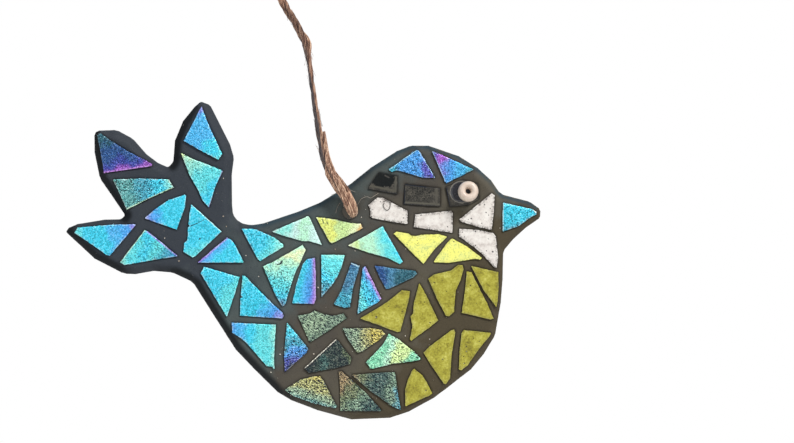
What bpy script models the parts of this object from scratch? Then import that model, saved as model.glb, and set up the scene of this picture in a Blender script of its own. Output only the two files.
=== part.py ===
"""Mosaic bird ornament: cut glass set in dark grout over a thin board, hung on a loop of twine.

The bird stands in the XZ plane and faces -Y, with its beak at +X. Every flat shape is drawn in
millimetres from the centre of the hanging hole, x towards the beak and z up. The part's origin is
where a hook bears inside the top of the twine loop.
"""
import math

import bmesh
import bpy
from mathutils import Vector

MM = 0.001

# Thicknesses, in millimetres; the front is at negative y and y = 0 is the middle of the plaque
PLAQUE_THICKNESS = 6.8
BOARD_THICKNESS = 3.0
TILE_THICKNESS = 4.0
TILE_BED = 0.3
BACK_Y = PLAQUE_THICKNESS / 2
FRONT_Y = -PLAQUE_THICKNESS / 2
BOARD_FRONT_Y = BACK_Y - BOARD_THICKNESS
TILE_BACK_Y = BOARD_FRONT_Y - TILE_BED
TILE_FRONT_Y = TILE_BACK_Y - TILE_THICKNESS

# Grout: how far it covers the board's edge, the gap round a tile, and the rounded front edge
BOARD_INSET = 1.2
BOARD_GAP = 0.3
TILE_GAP = 0.25
RIM_INSET = 0.55
RIM_DEPTH = 1.5
RIM_STEPS = 3

# A corner that turns less than half of this stays one point; a sharper one becomes an arc, which
# takes at most this share of the edges beside it
ARC_STEP = math.radians(40)
ARC_EDGE_SHARE = 0.45
# A tile's corner sharper than this turn has its tip nipped off by a short flat
NIP_TURN = math.radians(100)
NIP = 0.3

HOLE_DIAMETER = 5.0
HOLE_SIDES = 16

# How far a cutter runs past a free face, and past the floor of the board's recess
CUT_PAST_FACE = 1.0
CUT_PAST_RECESS = 0.2

# Outline of the bird, clockwise from the top feather's tip: x, z and the radius of each corner
OUTLINE = (
    (-80.9, 25.4, 1.6), (-74.0, 25.7, 2.5), (-69.0, 23.0, 4.0), (-64.6, 18.0, 6.0),
    (-61.0, 15.3, 5.0), (-57.6, 13.8, 0.8), (-56.0, 15.6, 1.2), (-55.5, 22.2, 5.0),
    (-52.9, 28.5, 4.0), (-49.3, 32.9, 4.0), (-47.2, 34.7, 1.0), (-44.4, 33.6, 1.2),
    (-38.2, 21.3, 8.0), (-36.9, 17.0, 3.0), (-37.6, 11.5, 6.0), (-37.5, 2.0, 6.0),
    (-37.2, -1.2, 2.0), (-35.2, -3.7, 3.0), (-31.5, -4.5, 4.0), (-27.5, -3.9, 6.0),
    (-16.2, -0.1, 8.0), (-9.5, 2.7, 6.0), (0.0, 8.5, 8.0), (6.5, 13.7, 8.0),
    (14.8, 19.0, 4.0), (19.2, 20.7, 3.0), (24.8, 20.7, 3.0), (34.4, 17.4, 4.0),
    (40.4, 13.6, 5.0), (44.6, 9.8, 3.0), (47.6, 5.4, 2.5), (56.8, 3.0, 3.0),
    (60.3, 0.5, 1.2), (60.1, -2.2, 1.0), (55.6, -5.3, 4.0), (51.6, -9.0, 5.0),
    (48.5, -12.7, 2.0), (48.3, -21.5, 8.0), (47.7, -29.0, 8.0), (45.9, -39.4, 4.0),
    (42.3, -45.3, 6.0), (38.3, -50.1, 6.0), (30.2, -56.4, 5.0), (26.6, -59.1, 6.0),
    (18.6, -63.5, 5.0), (12.6, -65.5, 6.0), (0.4, -66.0, 8.0), (-10.2, -63.1, 8.0),
    (-18.6, -59.9, 6.0), (-23.0, -57.3, 4.0), (-30.4, -50.0, 8.0), (-36.2, -43.9, 6.0),
    (-44.2, -31.4, 8.0), (-49.8, -22.5, 3.0), (-56.2, -19.5, 4.0), (-62.2, -19.0, 5.0),
    (-67.8, -20.0, 5.0), (-71.6, -19.9, 4.0), (-80.9, -15.1, 8.0), (-90.0, -6.6, 0.5),
    (-89.1, -5.3, 0.8), (-86.2, -4.1, 2.0), (-77.6, -2.7, 8.0), (-72.5, -2.6, 1.0),
    (-71.2, -1.3, 0.6), (-79.2, 10.3, 4.0), (-80.9, 18.6, 8.0),
)

# Every tile, clockwise: its name, its glass and its corners (x, z)
TILES = (
    ("tail_tile_1", "indigo", ((-79.9, 23.9), (-79.2, 24.5), (-78.4, 24.3), (-74.8, 21.7),
                               (-69.8, 18.7), (-62.5, 14.9), (-62.6, 14.2), (-77.8, 12.0),
                               (-78.5, 16.5))),
    ("tail_tile_2", "teal", ((-75.0, 10.0), (-67.0, 10.3), (-57.3, 10.0), (-55.6, 7.4),
                             (-62.6, 4.4), (-70.6, 0.4), (-72.5, 4.8))),
    ("tail_tile_3", "azure", ((-46.9, 33.2), (-45.7, 29.8), (-44.6, 27.0), (-40.4, 18.0),
                              (-41.6, 16.2), (-46.3, 18.6), (-52.6, 22.2), (-49.9, 27.4),
                              (-47.9, 31.3))),
    ("tail_tile_4", "aqua", ((-53.5, 18.4), (-50.0, 16.6), (-40.9, 13.1), (-40.2, 12.5),
                             (-42.5, 8.0), (-44.6, 1.0), (-46.5, 3.2), (-48.0, 6.6),
                             (-50.8, 11.5))),
    ("tail_tile_5", "azure", ((-87.1, -6.9), (-86.1, -5.2), (-75.0, -4.3), (-67.6, -4.2),
                              (-70.4, -7.6), (-75.9, -14.1), (-77.0, -13.9), (-81.6, -10.6))),
    ("tail_tile_6", "aqua", ((-64.9, -6.0), (-63.9, -6.5), (-60.2, -9.4), (-54.4, -14.3),
                             (-60.5, -15.2), (-71.3, -17.1), (-72.7, -16.2), (-69.4, -11.8))),
    ("tail_tile_7", "cyan", ((-65.0, -2.3), (-61.6, 0.6), (-57.3, 3.5), (-52.3, 5.2),
                             (-51.8, 4.8), (-52.2, 1.2), (-54.8, -5.9), (-59.6, -4.2))),
    ("tail_tile_8", "cyan", ((-50.2, 2.2), (-40.6, -6.5), (-48.8, -14.2), (-49.8, -14.7),
                             (-52.7, -12.9), (-52.4, -10.1), (-51.4, -9.2), (-51.2, -5.1),
                             (-50.5, -4.8), (-51.1, -4.2), (-50.8, -1.0))),
    ("flank_tile_1", "azure", ((-38.9, -8.4), (-37.4, -9.2), (-36.2, -10.9), (-33.5, -16.3),
                               (-48.2, -16.3), (-43.9, -12.6))),
    ("flank_tile_2", "aqua", ((-34.3, -5.6), (-31.3, -5.6), (-29.6, -5.9), (-24.0, -8.3),
                              (-21.1, -10.6), (-21.1, -11.4), (-28.4, -15.8), (-29.1, -15.3))),
    ("flank_tile_3", "aqua", ((-46.2, -17.6), (-34.9, -20.9), (-36.3, -25.8), (-38.9, -33.5),
                              (-39.6, -32.4), (-47.2, -19.7))),
    ("flank_tile_4", "cyan", ((-34.0, -20.4), (-33.2, -20.5), (-24.8, -29.0), (-21.4, -32.0),
                              (-21.0, -33.1), (-21.4, -34.0), (-34.8, -33.1), (-34.7, -27.8),
                              (-34.3, -27.2), (-34.5, -26.4))),
    ("flank_tile_5", "cyan", ((-37.4, -35.3), (-23.4, -35.9), (-24.0, -46.0), (-23.9, -50.2),
                              (-24.5, -49.2), (-26.4, -49.0), (-32.1, -42.4), (-34.2, -40.4),
                              (-37.2, -38.5))),
    ("flank_tile_6", "blue", ((-19.9, -35.2), (-15.0, -41.2), (-13.2, -43.5), (-13.8, -44.9),
                              (-20.6, -51.0), (-20.9, -46.0), (-20.5, -41.0))),
    ("back_tile_1", "pale_aqua", ((-24.7, -6.5), (-13.3, -1.6), (-12.7, -2.2), (-8.8, -10.8),
                                  (-12.6, -9.6), (-15.2, -9.5), (-20.2, -8.1))),
    ("back_tile_2", "pale_lime", ((-10.8, -1.9), (-5.0, -2.6), (0.0, -3.8), (3.4, -4.0),
                                  (4.1, -5.4), (1.8, -6.6), (-5.7, -10.2), (-6.4, -9.8))),
    ("back_tile_3", "pale_aqua", ((-0.7, -10.9), (10.3, -4.8), (16.7, -16.0), (15.8, -16.8),
                                  (11.6, -14.7), (6.0, -13.2))),
    ("wing_tile_1", "aqua", ((-27.5, -17.5), (-24.2, -16.0), (-15.0, -10.7), (-14.0, -12.3),
                             (-15.4, -15.6), (-17.4, -19.6), (-20.5, -29.6), (-21.4, -30.1),
                             (-23.4, -27.0))),
    ("wing_tile_2", "azure", ((-13.5, -15.2), (-11.1, -14.8), (-10.8, -20.0), (-10.8, -28.0),
                              (-11.4, -29.4), (-18.3, -29.2), (-16.9, -23.0), (-14.9, -16.7))),
    ("wing_tile_3", "aqua", ((-9.1, -13.8), (-1.6, -13.9), (-2.6, -17.5), (-4.1, -21.0),
                             (-5.7, -23.4), (-9.0, -27.3))),
    ("wing_tile_4", "blue", ((0.4, -16.3), (3.1, -17.3), (0.9, -24.5), (0.0, -30.4),
                             (-1.6, -30.6), (-5.2, -29.6), (-2.9, -25.4), (-0.8, -19.6))),
    ("wing_tile_5", "azure", ((4.0, -17.9), (4.9, -17.5), (7.6, -23.0), (9.9, -27.7),
                              (8.8, -28.9), (2.3, -32.6), (3.0, -26.5))),
    ("wing_tile_6", "dark_blue", ((7.7, -17.2), (15.0, -18.3), (20.6, -18.9), (21.2, -19.8),
                                  (20.2, -20.9), (12.4, -24.6), (11.3, -24.6), (9.2, -20.6))),
    ("belly_tile_1", "sage", ((-16.5, -33.0), (-12.8, -32.5), (-11.3, -31.4), (-8.3, -32.7),
                              (-4.6, -33.1), (-2.2, -32.4), (-1.0, -33.8), (-7.2, -38.2),
                              (-12.6, -41.5), (-13.7, -39.4))),
    ("belly_tile_2", "gold_green", ((-2.4, -37.1), (7.4, -37.0), (9.9, -37.5), (11.2, -38.9),
                                    (9.4, -40.7), (4.1, -44.3), (2.4, -44.9), (-0.4, -41.0))),
    ("belly_tile_3", "bottle_green", ((-14.5, -49.7), (-4.6, -40.6), (-3.7, -41.1),
                                      (-2.0, -43.4), (0.5, -46.5), (0.0, -48.4), (-4.0, -49.6),
                                      (-9.0, -50.4), (-12.9, -51.2))),
    ("belly_tile_4", "mint", ((12.2, -38.8), (15.0, -40.3), (20.2, -44.4), (22.5, -46.9),
                              (20.0, -47.5), (13.6, -48.3), (7.1, -49.9), (6.4, -49.6),
                              (5.0, -47.8), (8.2, -44.6), (10.7, -41.8))),
    ("belly_tile_5", "gold_green", ((-20.8, -56.6), (-15.4, -53.2), (-11.2, -52.2),
                                    (-9.6, -52.2), (-8.4, -53.6), (-4.1, -61.9), (-4.9, -62.4),
                                    (-11.2, -60.9), (-17.6, -58.6))),
    ("belly_tile_6", "bronze_green", ((-3.6, -50.7), (-2.6, -50.6), (4.5, -57.0),
                                      (9.9, -62.9), (9.5, -63.3), (-3.1, -63.2),
                                      (-3.1, -56.0))),
    ("belly_tile_7", "bronze_green", ((0.4, -51.8), (8.0, -51.2), (13.9, -50.9), (14.4, -51.9),
                                      (14.9, -56.2), (16.1, -63.0), (13.3, -61.7),
                                      (6.3, -56.8))),
    ("cap_tile_1", "azure", ((12.1, 13.1), (21.1, 19.4), (21.9, 19.0), (27.0, 10.4),
                             (22.8, 10.6), (15.1, 12.9), (13.2, 12.4))),
    ("cap_tile_2", "violet", ((25.9, 19.0), (28.5, 18.0), (39.2, 13.1), (35.0, 11.0),
                              (30.5, 8.8), (30.0, 9.3))),
    ("beak_tile", "cyan", ((48.3, 2.7), (52.3, 1.8), (57.6, 0.6), (59.0, -0.3), (58.9, -1.1),
                           (57.6, -1.7), (53.6, -4.6), (48.2, -6.6))),
    ("mask_tile_1", "black", ((9.0, 12.2), (15.0, 11.0), (14.9, 5.3), (5.6, 7.0))),
    ("mask_tile_2", "black", ((17.4, 8.5), (28.5, 7.2), (28.5, 1.4), (16.9, 2.1))),
    ("mask_tile_3", "black", ((30.3, 7.6), (35.8, 9.7), (40.3, 8.6), (40.8, 3.8), (37.5, 1.9),
                              (31.5, 1.3))),
    ("cheek_tile_1", "white", ((5.8, 1.9), (8.6, 4.2), (10.4, 4.2), (18.2, 0.0), (18.2, -3.9),
                               (17.7, -4.1), (13.8, -3.5), (7.0, -2.2), (6.4, -1.7),
                               (6.4, 0.4))),
    ("cheek_tile_2", "white", ((20.6, -1.1), (29.9, -0.1), (32.0, 0.1), (32.5, -0.7),
                               (32.4, -6.9), (29.5, -6.5), (20.2, -5.1))),
    ("cheek_tile_3", "white", ((34.6, -2.6), (44.8, 5.6), (45.8, 4.9), (45.5, 0.0),
                               (44.8, -6.0), (40.4, -5.0), (35.2, -3.4))),
    ("cheek_tile_4", "white", ((34.5, -5.6), (40.2, -5.9), (45.2, -6.9), (46.1, -8.0),
                               (46.8, -14.5), (46.4, -18.1), (45.4, -17.6), (41.4, -13.2),
                               (36.2, -9.2), (34.5, -8.1))),
    ("throat_tile_1", "yellow", ((13.8, -7.2), (14.7, -6.5), (18.4, -7.1), (19.4, -7.8),
                                 (21.0, -7.9), (22.6, -7.5), (28.0, -7.3), (30.8, -8.1),
                                 (26.8, -12.0), (23.2, -16.7), (20.0, -13.6))),
    ("throat_tile_2", "yellow", ((32.4, -8.7), (37.0, -11.2), (41.8, -14.9), (41.0, -15.4),
                                 (39.7, -15.1), (35.2, -15.8), (31.2, -16.4), (26.4, -16.2),
                                 (27.4, -14.6), (30.4, -10.5), (31.7, -9.0))),
    ("breast_tile_1", "olive", ((24.7, -21.4), (26.4, -20.1), (31.9, -18.8), (34.2, -17.0),
                                (35.6, -17.1), (35.9, -18.4), (35.0, -21.8), (33.4, -25.2),
                                (32.9, -31.9), (31.3, -33.3), (30.3, -33.1), (27.4, -27.6))),
    ("breast_tile_2", "olive", ((38.2, -17.3), (46.9, -19.3), (47.0, -24.0), (46.7, -28.5),
                                (46.3, -30.5), (45.1, -28.8), (42.2, -25.0), (39.9, -20.5))),
    ("breast_tile_3", "olive", ((36.9, -19.1), (38.4, -19.3), (41.0, -24.6), (43.4, -29.2),
                                (45.4, -34.0), (44.4, -34.3), (35.3, -32.2), (36.3, -25.5))),
    ("breast_tile_4", "olive", ((21.9, -22.7), (24.1, -26.6), (27.9, -34.6), (25.8, -36.3),
                                (19.3, -41.1), (18.9, -40.5), (19.7, -36.3), (19.1, -33.2),
                                (19.9, -32.4), (20.2, -28.8))),
    ("breast_tile_5", "olive", ((3.1, -34.0), (10.2, -29.8), (14.5, -26.6), (16.4, -25.0),
                                (19.0, -25.4), (18.5, -28.5), (15.9, -38.1), (15.0, -38.3),
                                (7.4, -35.5))),
    ("breast_tile_6", "olive", ((23.2, -44.8), (25.4, -42.6), (32.0, -37.7), (32.9, -37.4),
                                (33.3, -38.4), (32.2, -45.0), (31.6, -53.0), (30.2, -54.8),
                                (29.6, -54.5), (25.4, -48.4))),
    ("breast_tile_7", "olive", ((20.3, -49.8), (22.9, -52.0), (24.2, -54.0), (26.0, -57.6),
                                (25.2, -58.3), (17.5, -61.8), (17.4, -56.4), (18.3, -53.4),
                                (19.5, -50.6))),
    ("breast_tile_8", "olive", ((36.0, -37.6), (44.7, -38.5), (43.8, -40.0), (41.4, -42.8),
                                (37.1, -48.9), (35.2, -50.4), (34.4, -50.0), (34.6, -44.5),
                                (35.2, -38.8))),
)

# Eye bead: a turned bead that stands on mask_tile_3, its hole tipped up and towards the beak
BEAD_AT = (37.3, 6.15)
BEAD_DIAMETER = 6.5
BEAD_LENGTH = 4.2
BEAD_BORE = 1.7
BEAD_TIP = math.radians(12)
BEAD_TIP_TOWARDS = (0.45, 0.0, 0.89)
BEAD_SIDES = 18
BEAD_PROFILE_STEPS = 10

# Twine: its route from the hole, up in front, over the hook and down behind, back to the hole
TWINE_DIAMETER = 2.6
TWINE_SPACING = 2.75
TWINE_ROUTE = (
    (0.0, -0.15, 0.0), (0.0, -0.9, 0.0), (-0.1, -3.5, 0.6), (-0.6, -5.4, 2.5),
    (-1.8, -6.2, 5.2), (-4.0, -6.2, 9.0), (-6.2, -5.3, 12.8), (-7.9, -3.7, 17.2),
    (-8.9, -2.4, 22.2), (-9.8, -1.8, 27.2), (-10.9, -1.6, 33.5), (-12.0, -1.6, 40.5),
    (-12.9, -1.6, 47.0), (-13.8, -1.9, 52.6), (-15.9, -2.7, 57.0), (-18.6, -3.8, 61.6),
    (-21.8, -4.8, 66.8), (-25.2, -5.3, 72.2), (-28.0, -5.4, 77.2), (-29.8, -5.4, 81.2),
    (-30.6, -4.9, 86.2), (-30.7, -2.8, 88.6), (-30.7, 0.0, 89.4), (-30.7, 2.8, 88.6),
    (-30.6, 4.9, 86.2), (-29.8, 5.4, 81.2), (-28.0, 5.4, 77.2), (-25.2, 5.3, 72.2),
    (-21.8, 4.8, 66.8), (-18.5, 3.8, 61.6), (-15.9, 2.7, 57.0), (-13.9, 1.9, 52.6),
    (-13.0, 1.6, 47.0), (-12.2, 1.6, 40.5), (-11.3, 1.6, 33.5), (-10.5, 1.8, 27.2),
    (-9.7, 2.4, 22.2), (-8.7, 3.7, 17.2), (-7.0, 5.3, 12.8), (-4.8, 6.2, 9.0),
    (-2.3, 6.2, 5.2), (-1.0, 5.4, 2.5), (-0.3, 3.5, 0.6), (0.0, 0.9, 0.0),
    (0.0, 0.15, 0.0),
)
LOOP_TOP = (-30.7, 0.0, 89.4)
# The hook bears on the underside of the loop's top, and that place is the part's origin
HOOK_AT = Vector(LOOP_TOP) - Vector((0.0, 0.0, TWINE_DIAMETER / 2))

# Knot: a ring of turns round the rear strand, and the two cut tails that leave it
KNOT_ROUTE_POINT = 27
KNOT_PROFILE = ((1.75, -2.6), (2.6, -3.3), (3.4, -1.8), (3.6, 1.1), (2.8, 3.1), (1.75, 2.6))
KNOT_SIDES = 12
TAIL_DIAMETER = 2.3
TAIL_LENGTH = 10.0
TAIL_TAPER = 0.9
TAIL_SIDES = 8
TAIL_DIRECTIONS = ((-0.62, 0.72, -0.25), (0.55, 0.8, -0.2))

# Colours of the glass, and the colour and roughness of the other finishes
GLASS_ROUGHNESS = 0.15
GLASS = {
    "indigo": (0.07, 0.07, 0.35), "teal": (0.05, 0.30, 0.33), "azure": (0.06, 0.42, 0.85),
    "cyan": (0.05, 0.60, 0.80), "aqua": (0.14, 0.66, 0.70), "blue": (0.04, 0.22, 0.50),
    "dark_blue": (0.03, 0.12, 0.20), "violet": (0.28, 0.25, 0.80),
    "pale_aqua": (0.45, 0.80, 0.75), "pale_lime": (0.60, 0.75, 0.32),
    "sage": (0.30, 0.42, 0.32), "gold_green": (0.38, 0.40, 0.12),
    "bottle_green": (0.02, 0.05, 0.05), "mint": (0.40, 0.75, 0.45),
    "bronze_green": (0.12, 0.15, 0.09), "black": (0.035, 0.035, 0.037),
    "white": (0.72, 0.68, 0.66), "yellow": (0.85, 0.80, 0.22), "olive": (0.42, 0.41, 0.06),
}
FINISHES = {
    "board": ((0.36, 0.23, 0.13), 0.8), "grout": ((0.075, 0.070, 0.066), 0.9),
    "bead": ((0.80, 0.70, 0.60), 0.35), "jute": ((0.42, 0.24, 0.14), 0.95),
}


def clear_scene():
    for old in list(bpy.data.objects):
        bpy.data.objects.remove(old, do_unlink=True)


def finish(name, colour, roughness):
    material = bpy.data.materials.new(name)
    material.use_nodes = True
    shader = material.node_tree.nodes["Principled BSDF"]
    shader.inputs["Base Color"].default_value = (*colour, 1.0)
    shader.inputs["Roughness"].default_value = roughness
    shader.inputs["Metallic"].default_value = 0.0
    material.diffuse_color = (*colour, 1.0)
    return material


def place(x, y, z):
    """A point in the part's frame, in metres, from millimetres measured at the hanging hole."""
    return (Vector((x, y, z)) - HOOK_AT) * MM


def add_object(name, data, material=None):
    thing = bpy.data.objects.new(name, data)
    bpy.context.scene.collection.objects.link(thing)
    if material is not None:
        data.materials.append(material)
    return thing


def object_from_bmesh(name, shape, material=None):
    bmesh.ops.recalc_face_normals(shape, faces=shape.faces)
    mesh = bpy.data.meshes.new(name)
    shape.to_mesh(mesh)
    shape.free()
    return add_object(name, mesh, material)


def edge_directions(corners):
    """Unit direction of the edge that leaves each corner."""
    directions = []
    for i, corner in enumerate(corners):
        after = corners[(i + 1) % len(corners)]
        step = Vector((after[0] - corner[0], after[1] - corner[1]))
        directions.append(step.normalized())
    return directions


def moved_in(corners, distance):
    """Clockwise corners moved inwards by a distance, or outwards by a negative one."""
    directions = edge_directions(corners)
    moved = []
    for i, corner in enumerate(corners):
        normal_before = Vector((directions[i - 1].y, -directions[i - 1].x))
        normal_after = Vector((directions[i].y, -directions[i].x))
        mitre = (normal_before + normal_after) / (1.0 + normal_before.dot(normal_after))
        place_2d = Vector(corner[:2]) + mitre * distance
        turn = directions[i - 1].cross(directions[i])
        radius_change = -distance if turn < 0 else distance
        radii = [max(0.0, radius + radius_change) for radius in corner[2:]]
        moved.append((*place_2d, *radii))
    return moved


def rounded(corners):
    """The points of an outline whose sharper corners are arcs of their own radius."""
    directions = edge_directions(corners)
    points = []
    for i, (x, z, radius) in enumerate(corners):
        corner = Vector((x, z))
        arriving = directions[i - 1]
        leaving = directions[i]
        turn = arriving.angle_signed(leaving)
        steps = round(abs(turn) / ARC_STEP)
        before = Vector(corners[i - 1][:2])
        after = Vector(corners[(i + 1) % len(corners)][:2])
        room = ARC_EDGE_SHARE * min((corner - before).length, (corner - after).length)
        setback = min(room, radius * math.tan(abs(turn) / 2))
        if steps == 0:
            points.append(corner)
            continue
        arc_radius = setback / math.tan(abs(turn) / 2)
        side = 1.0 if turn > 0 else -1.0
        centre = corner - arriving * setback + Vector((arriving.y, -arriving.x)) * arc_radius * side
        start = corner - arriving * setback - centre
        for step in range(steps + 1):
            angle = -turn * step / steps
            points.append(centre + Vector((start.x * math.cos(angle) - start.y * math.sin(angle),
                                           start.x * math.sin(angle) + start.y * math.cos(angle))))
    return points


def nipped(corners):
    """A tile's points, with its sharpest tips cut off by a short flat."""
    directions = edge_directions(corners)
    points = []
    for i, corner in enumerate(corners):
        if abs(directions[i - 1].angle_signed(directions[i])) > NIP_TURN:
            points.append(Vector(corner) - directions[i - 1] * NIP)
            points.append(Vector(corner) + directions[i] * NIP)
        else:
            points.append(Vector(corner))
    return points


def add_loft(shape, rings):
    """Adds a closed solid to the bmesh through rings of (y, points), from the back to the front."""
    rows = [[shape.verts.new(place(x, y, z)) for x, z in points] for y, points in rings]
    for row, following in zip(rows, rows[1:]):
        for i in range(len(row)):
            j = (i + 1) % len(row)
            shape.faces.new((row[i], row[j], following[j], following[i]))
    shape.faces.new(rows[0])
    shape.faces.new(rows[-1])


def plate(name, points, back, front, material=None):
    shape = bmesh.new()
    add_loft(shape, ((back, points), (front, points)))
    return object_from_bmesh(name, shape, material)


def hole_points():
    radius = HOLE_DIAMETER / 2
    angles = [2 * math.pi * i / HOLE_SIDES for i in range(HOLE_SIDES)]
    return [Vector((radius * math.cos(angle), radius * math.sin(angle))) for angle in angles]


def as_cutter(thing):
    thing.hide_render = True
    thing.display_type = 'WIRE'
    return thing


def cut(thing, cutter):
    modifier = thing.modifiers.new(cutter.name, 'BOOLEAN')
    modifier.operation = 'DIFFERENCE'
    modifier.solver = 'EXACT'
    modifier.object = cutter


def pocket_cutter():
    """The room that each tile and the hanging hole take out of the grout."""
    back = BOARD_FRONT_Y + CUT_PAST_RECESS
    front = FRONT_Y - CUT_PAST_FACE
    shape = bmesh.new()
    for name, glass, corners in TILES:
        points = [point[:2] for point in moved_in(nipped(corners), -TILE_GAP)]
        add_loft(shape, ((back, points), (front, points)))
    add_loft(shape, ((back, hole_points()), (front, hole_points())))
    return as_cutter(object_from_bmesh("pocket_cutter", shape))


def make_grout():
    """The grout: rounded along its front edge, hollow behind for the board, open for every tile."""
    rings = [(BACK_Y, rounded(OUTLINE))]
    for step in range(RIM_STEPS + 1):
        angle = math.pi / 2 * step / RIM_STEPS
        y = FRONT_Y + RIM_DEPTH * (1.0 - math.sin(angle))
        rings.append((y, rounded(moved_in(OUTLINE, RIM_INSET * (1.0 - math.cos(angle))))))
    shape = bmesh.new()
    add_loft(shape, [(y, [point[:2] for point in points]) for y, points in rings])
    grout = object_from_bmesh("grout", shape, finish("grout", *FINISHES["grout"]))
    recess = rounded(moved_in(OUTLINE, BOARD_INSET - BOARD_GAP))
    floor = BOARD_FRONT_Y - BOARD_GAP
    cut(grout, as_cutter(plate("board_recess", recess, BACK_Y + CUT_PAST_FACE, floor)))
    cut(grout, pocket_cutter())


def make_board():
    board = plate("backing_board", rounded(moved_in(OUTLINE, BOARD_INSET)), BACK_Y, BOARD_FRONT_Y,
                  finish("board", *FINISHES["board"]))
    drill = plate("board_drill", hole_points(), BACK_Y + CUT_PAST_FACE,
                  BOARD_FRONT_Y - CUT_PAST_FACE)
    cut(board, as_cutter(drill))


def make_tiles():
    finishes = {}
    for glass, colour in GLASS.items():
        finishes[glass] = finish("glass_" + glass, colour, GLASS_ROUGHNESS)
    for name, glass, corners in TILES:
        plate(name, nipped(corners), TILE_BACK_Y, TILE_FRONT_Y, finishes[glass])


def bead_profile():
    """Half of the bead's section: an oval between the bore and the outside, as radius and height."""
    centre = (BEAD_DIAMETER + BEAD_BORE) / 4
    half_width = (BEAD_DIAMETER - BEAD_BORE) / 4
    points = []
    for step in range(BEAD_PROFILE_STEPS):
        angle = 2 * math.pi * step / BEAD_PROFILE_STEPS
        points.append((centre + half_width * math.cos(angle), BEAD_LENGTH / 2 * math.sin(angle)))
    return points


def add_turned_ring(shape, profile, sides, centre, axis):
    """Adds a closed ring to the bmesh, turned round an axis through its centre."""
    turn = Vector((0.0, 0.0, 1.0)).rotation_difference(axis)
    rows = []
    for step in range(sides):
        angle = 2 * math.pi * step / sides
        row = []
        for radius, height in profile:
            local = Vector((radius * math.cos(angle), radius * math.sin(angle), height))
            row.append(shape.verts.new(place(*(centre + turn @ local))))
        rows.append(row)
    for i, row in enumerate(rows):
        following = rows[(i + 1) % sides]
        for j in range(len(profile)):
            k = (j + 1) % len(profile)
            shape.faces.new((row[j], row[k], following[k], following[j]))


def make_bead():
    towards = Vector(BEAD_TIP_TOWARDS).normalized()
    axis = Vector((0.0, -math.cos(BEAD_TIP), 0.0)) + towards * math.sin(BEAD_TIP)
    ring_radius = (BEAD_DIAMETER + BEAD_BORE) / 4
    half_width = (BEAD_DIAMETER - BEAD_BORE) / 4
    reach = ring_radius * math.sin(BEAD_TIP)
    reach += math.hypot(BEAD_LENGTH / 2 * math.cos(BEAD_TIP), half_width * math.sin(BEAD_TIP))
    centre = Vector((BEAD_AT[0], TILE_FRONT_Y - TILE_BED - reach, BEAD_AT[1]))
    shape = bmesh.new()
    add_turned_ring(shape, bead_profile(), BEAD_SIDES, centre, axis)
    bead = object_from_bmesh("eye_bead", shape, finish("bead", *FINISHES["bead"]))
    bead.data.shade_smooth()


def smooth_route(points, spacing):
    """Evenly spaced points of the smooth curve that runs through a route's own points."""
    route = [Vector(point) for point in points]
    ends = [2 * route[0] - route[1], *route, 2 * route[-1] - route[-2]]
    fine = []
    for before, start, end, after in zip(ends, ends[1:], ends[2:], ends[3:]):
        for step in range(20):
            t = step / 20
            bend = (-before + 3 * start - 3 * end + after) * t ** 3
            bend += (2 * before - 5 * start + 4 * end - after) * t ** 2
            fine.append((bend + (end - before) * t + 2 * start) / 2)
    fine.append(route[-1])
    lengths = [0.0]
    for one, other in zip(fine, fine[1:]):
        lengths.append(lengths[-1] + (other - one).length)
    count = round(lengths[-1] / spacing)
    even = []
    for step in range(count + 1):
        along = lengths[-1] * step / count
        i = max(1, next((k for k, length in enumerate(lengths) if length >= along), len(fine) - 1))
        part = (along - lengths[i - 1]) / (lengths[i] - lengths[i - 1])
        even.append(fine[i - 1].lerp(fine[i], part))
    return even


def make_twine(jute):
    points = smooth_route(TWINE_ROUTE, TWINE_SPACING)
    curve = bpy.data.curves.new("hanging_twine", 'CURVE')
    curve.dimensions = '3D'
    curve.bevel_depth = TWINE_DIAMETER / 2 * MM
    curve.bevel_resolution = 2
    curve.use_fill_caps = True
    spline = curve.splines.new('POLY')
    spline.points.add(len(points) - 1)
    for control, point in zip(spline.points, points):
        control.co = (*place(*point), 1.0)
    add_object("hanging_twine", curve, jute)


def tail_cone(name, start, axis):
    """One cut tail of the knot: a straight, slightly tapered length of twine."""
    turn = Vector((0.0, 0.0, 1.0)).rotation_difference(axis)
    shape = bmesh.new()
    rows = []
    for step in range(TAIL_SIDES):
        angle = 2 * math.pi * step / TAIL_SIDES
        around = Vector((math.cos(angle), math.sin(angle), 0.0)) * TAIL_DIAMETER / 2
        far = around * TAIL_TAPER + Vector((0.0, 0.0, TAIL_LENGTH))
        rows.append([shape.verts.new(place(*(start + turn @ local))) for local in (around, far)])
    for i, row in enumerate(rows):
        following = rows[(i + 1) % TAIL_SIDES]
        shape.faces.new((row[0], following[0], following[1], row[1]))
    shape.faces.new([row[0] for row in rows])
    shape.faces.new([row[1] for row in rows])
    return as_cutter(object_from_bmesh(name, shape))


def make_knot(jute):
    centre = Vector(TWINE_ROUTE[KNOT_ROUTE_POINT])
    ahead = Vector(TWINE_ROUTE[KNOT_ROUTE_POINT + 1])
    behind = Vector(TWINE_ROUTE[KNOT_ROUTE_POINT - 1])
    shape = bmesh.new()
    add_turned_ring(shape, KNOT_PROFILE, KNOT_SIDES, centre, (behind - ahead).normalized())
    knot = object_from_bmesh("twine_knot", shape, jute)
    ring_middle = (KNOT_PROFILE[0][0] + KNOT_PROFILE[3][0]) / 2
    for number, direction in enumerate(TAIL_DIRECTIONS):
        along = Vector(direction).normalized()
        across = (ahead - behind).normalized()
        outwards = (along - across * along.dot(across)).normalized()
        start = centre + outwards * ring_middle
        tail = tail_cone("knot_tail_" + str(number), start, along)
        join = knot.modifiers.new(tail.name, 'BOOLEAN')
        join.operation = 'UNION'
        join.solver = 'EXACT'
        join.object = tail


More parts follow.
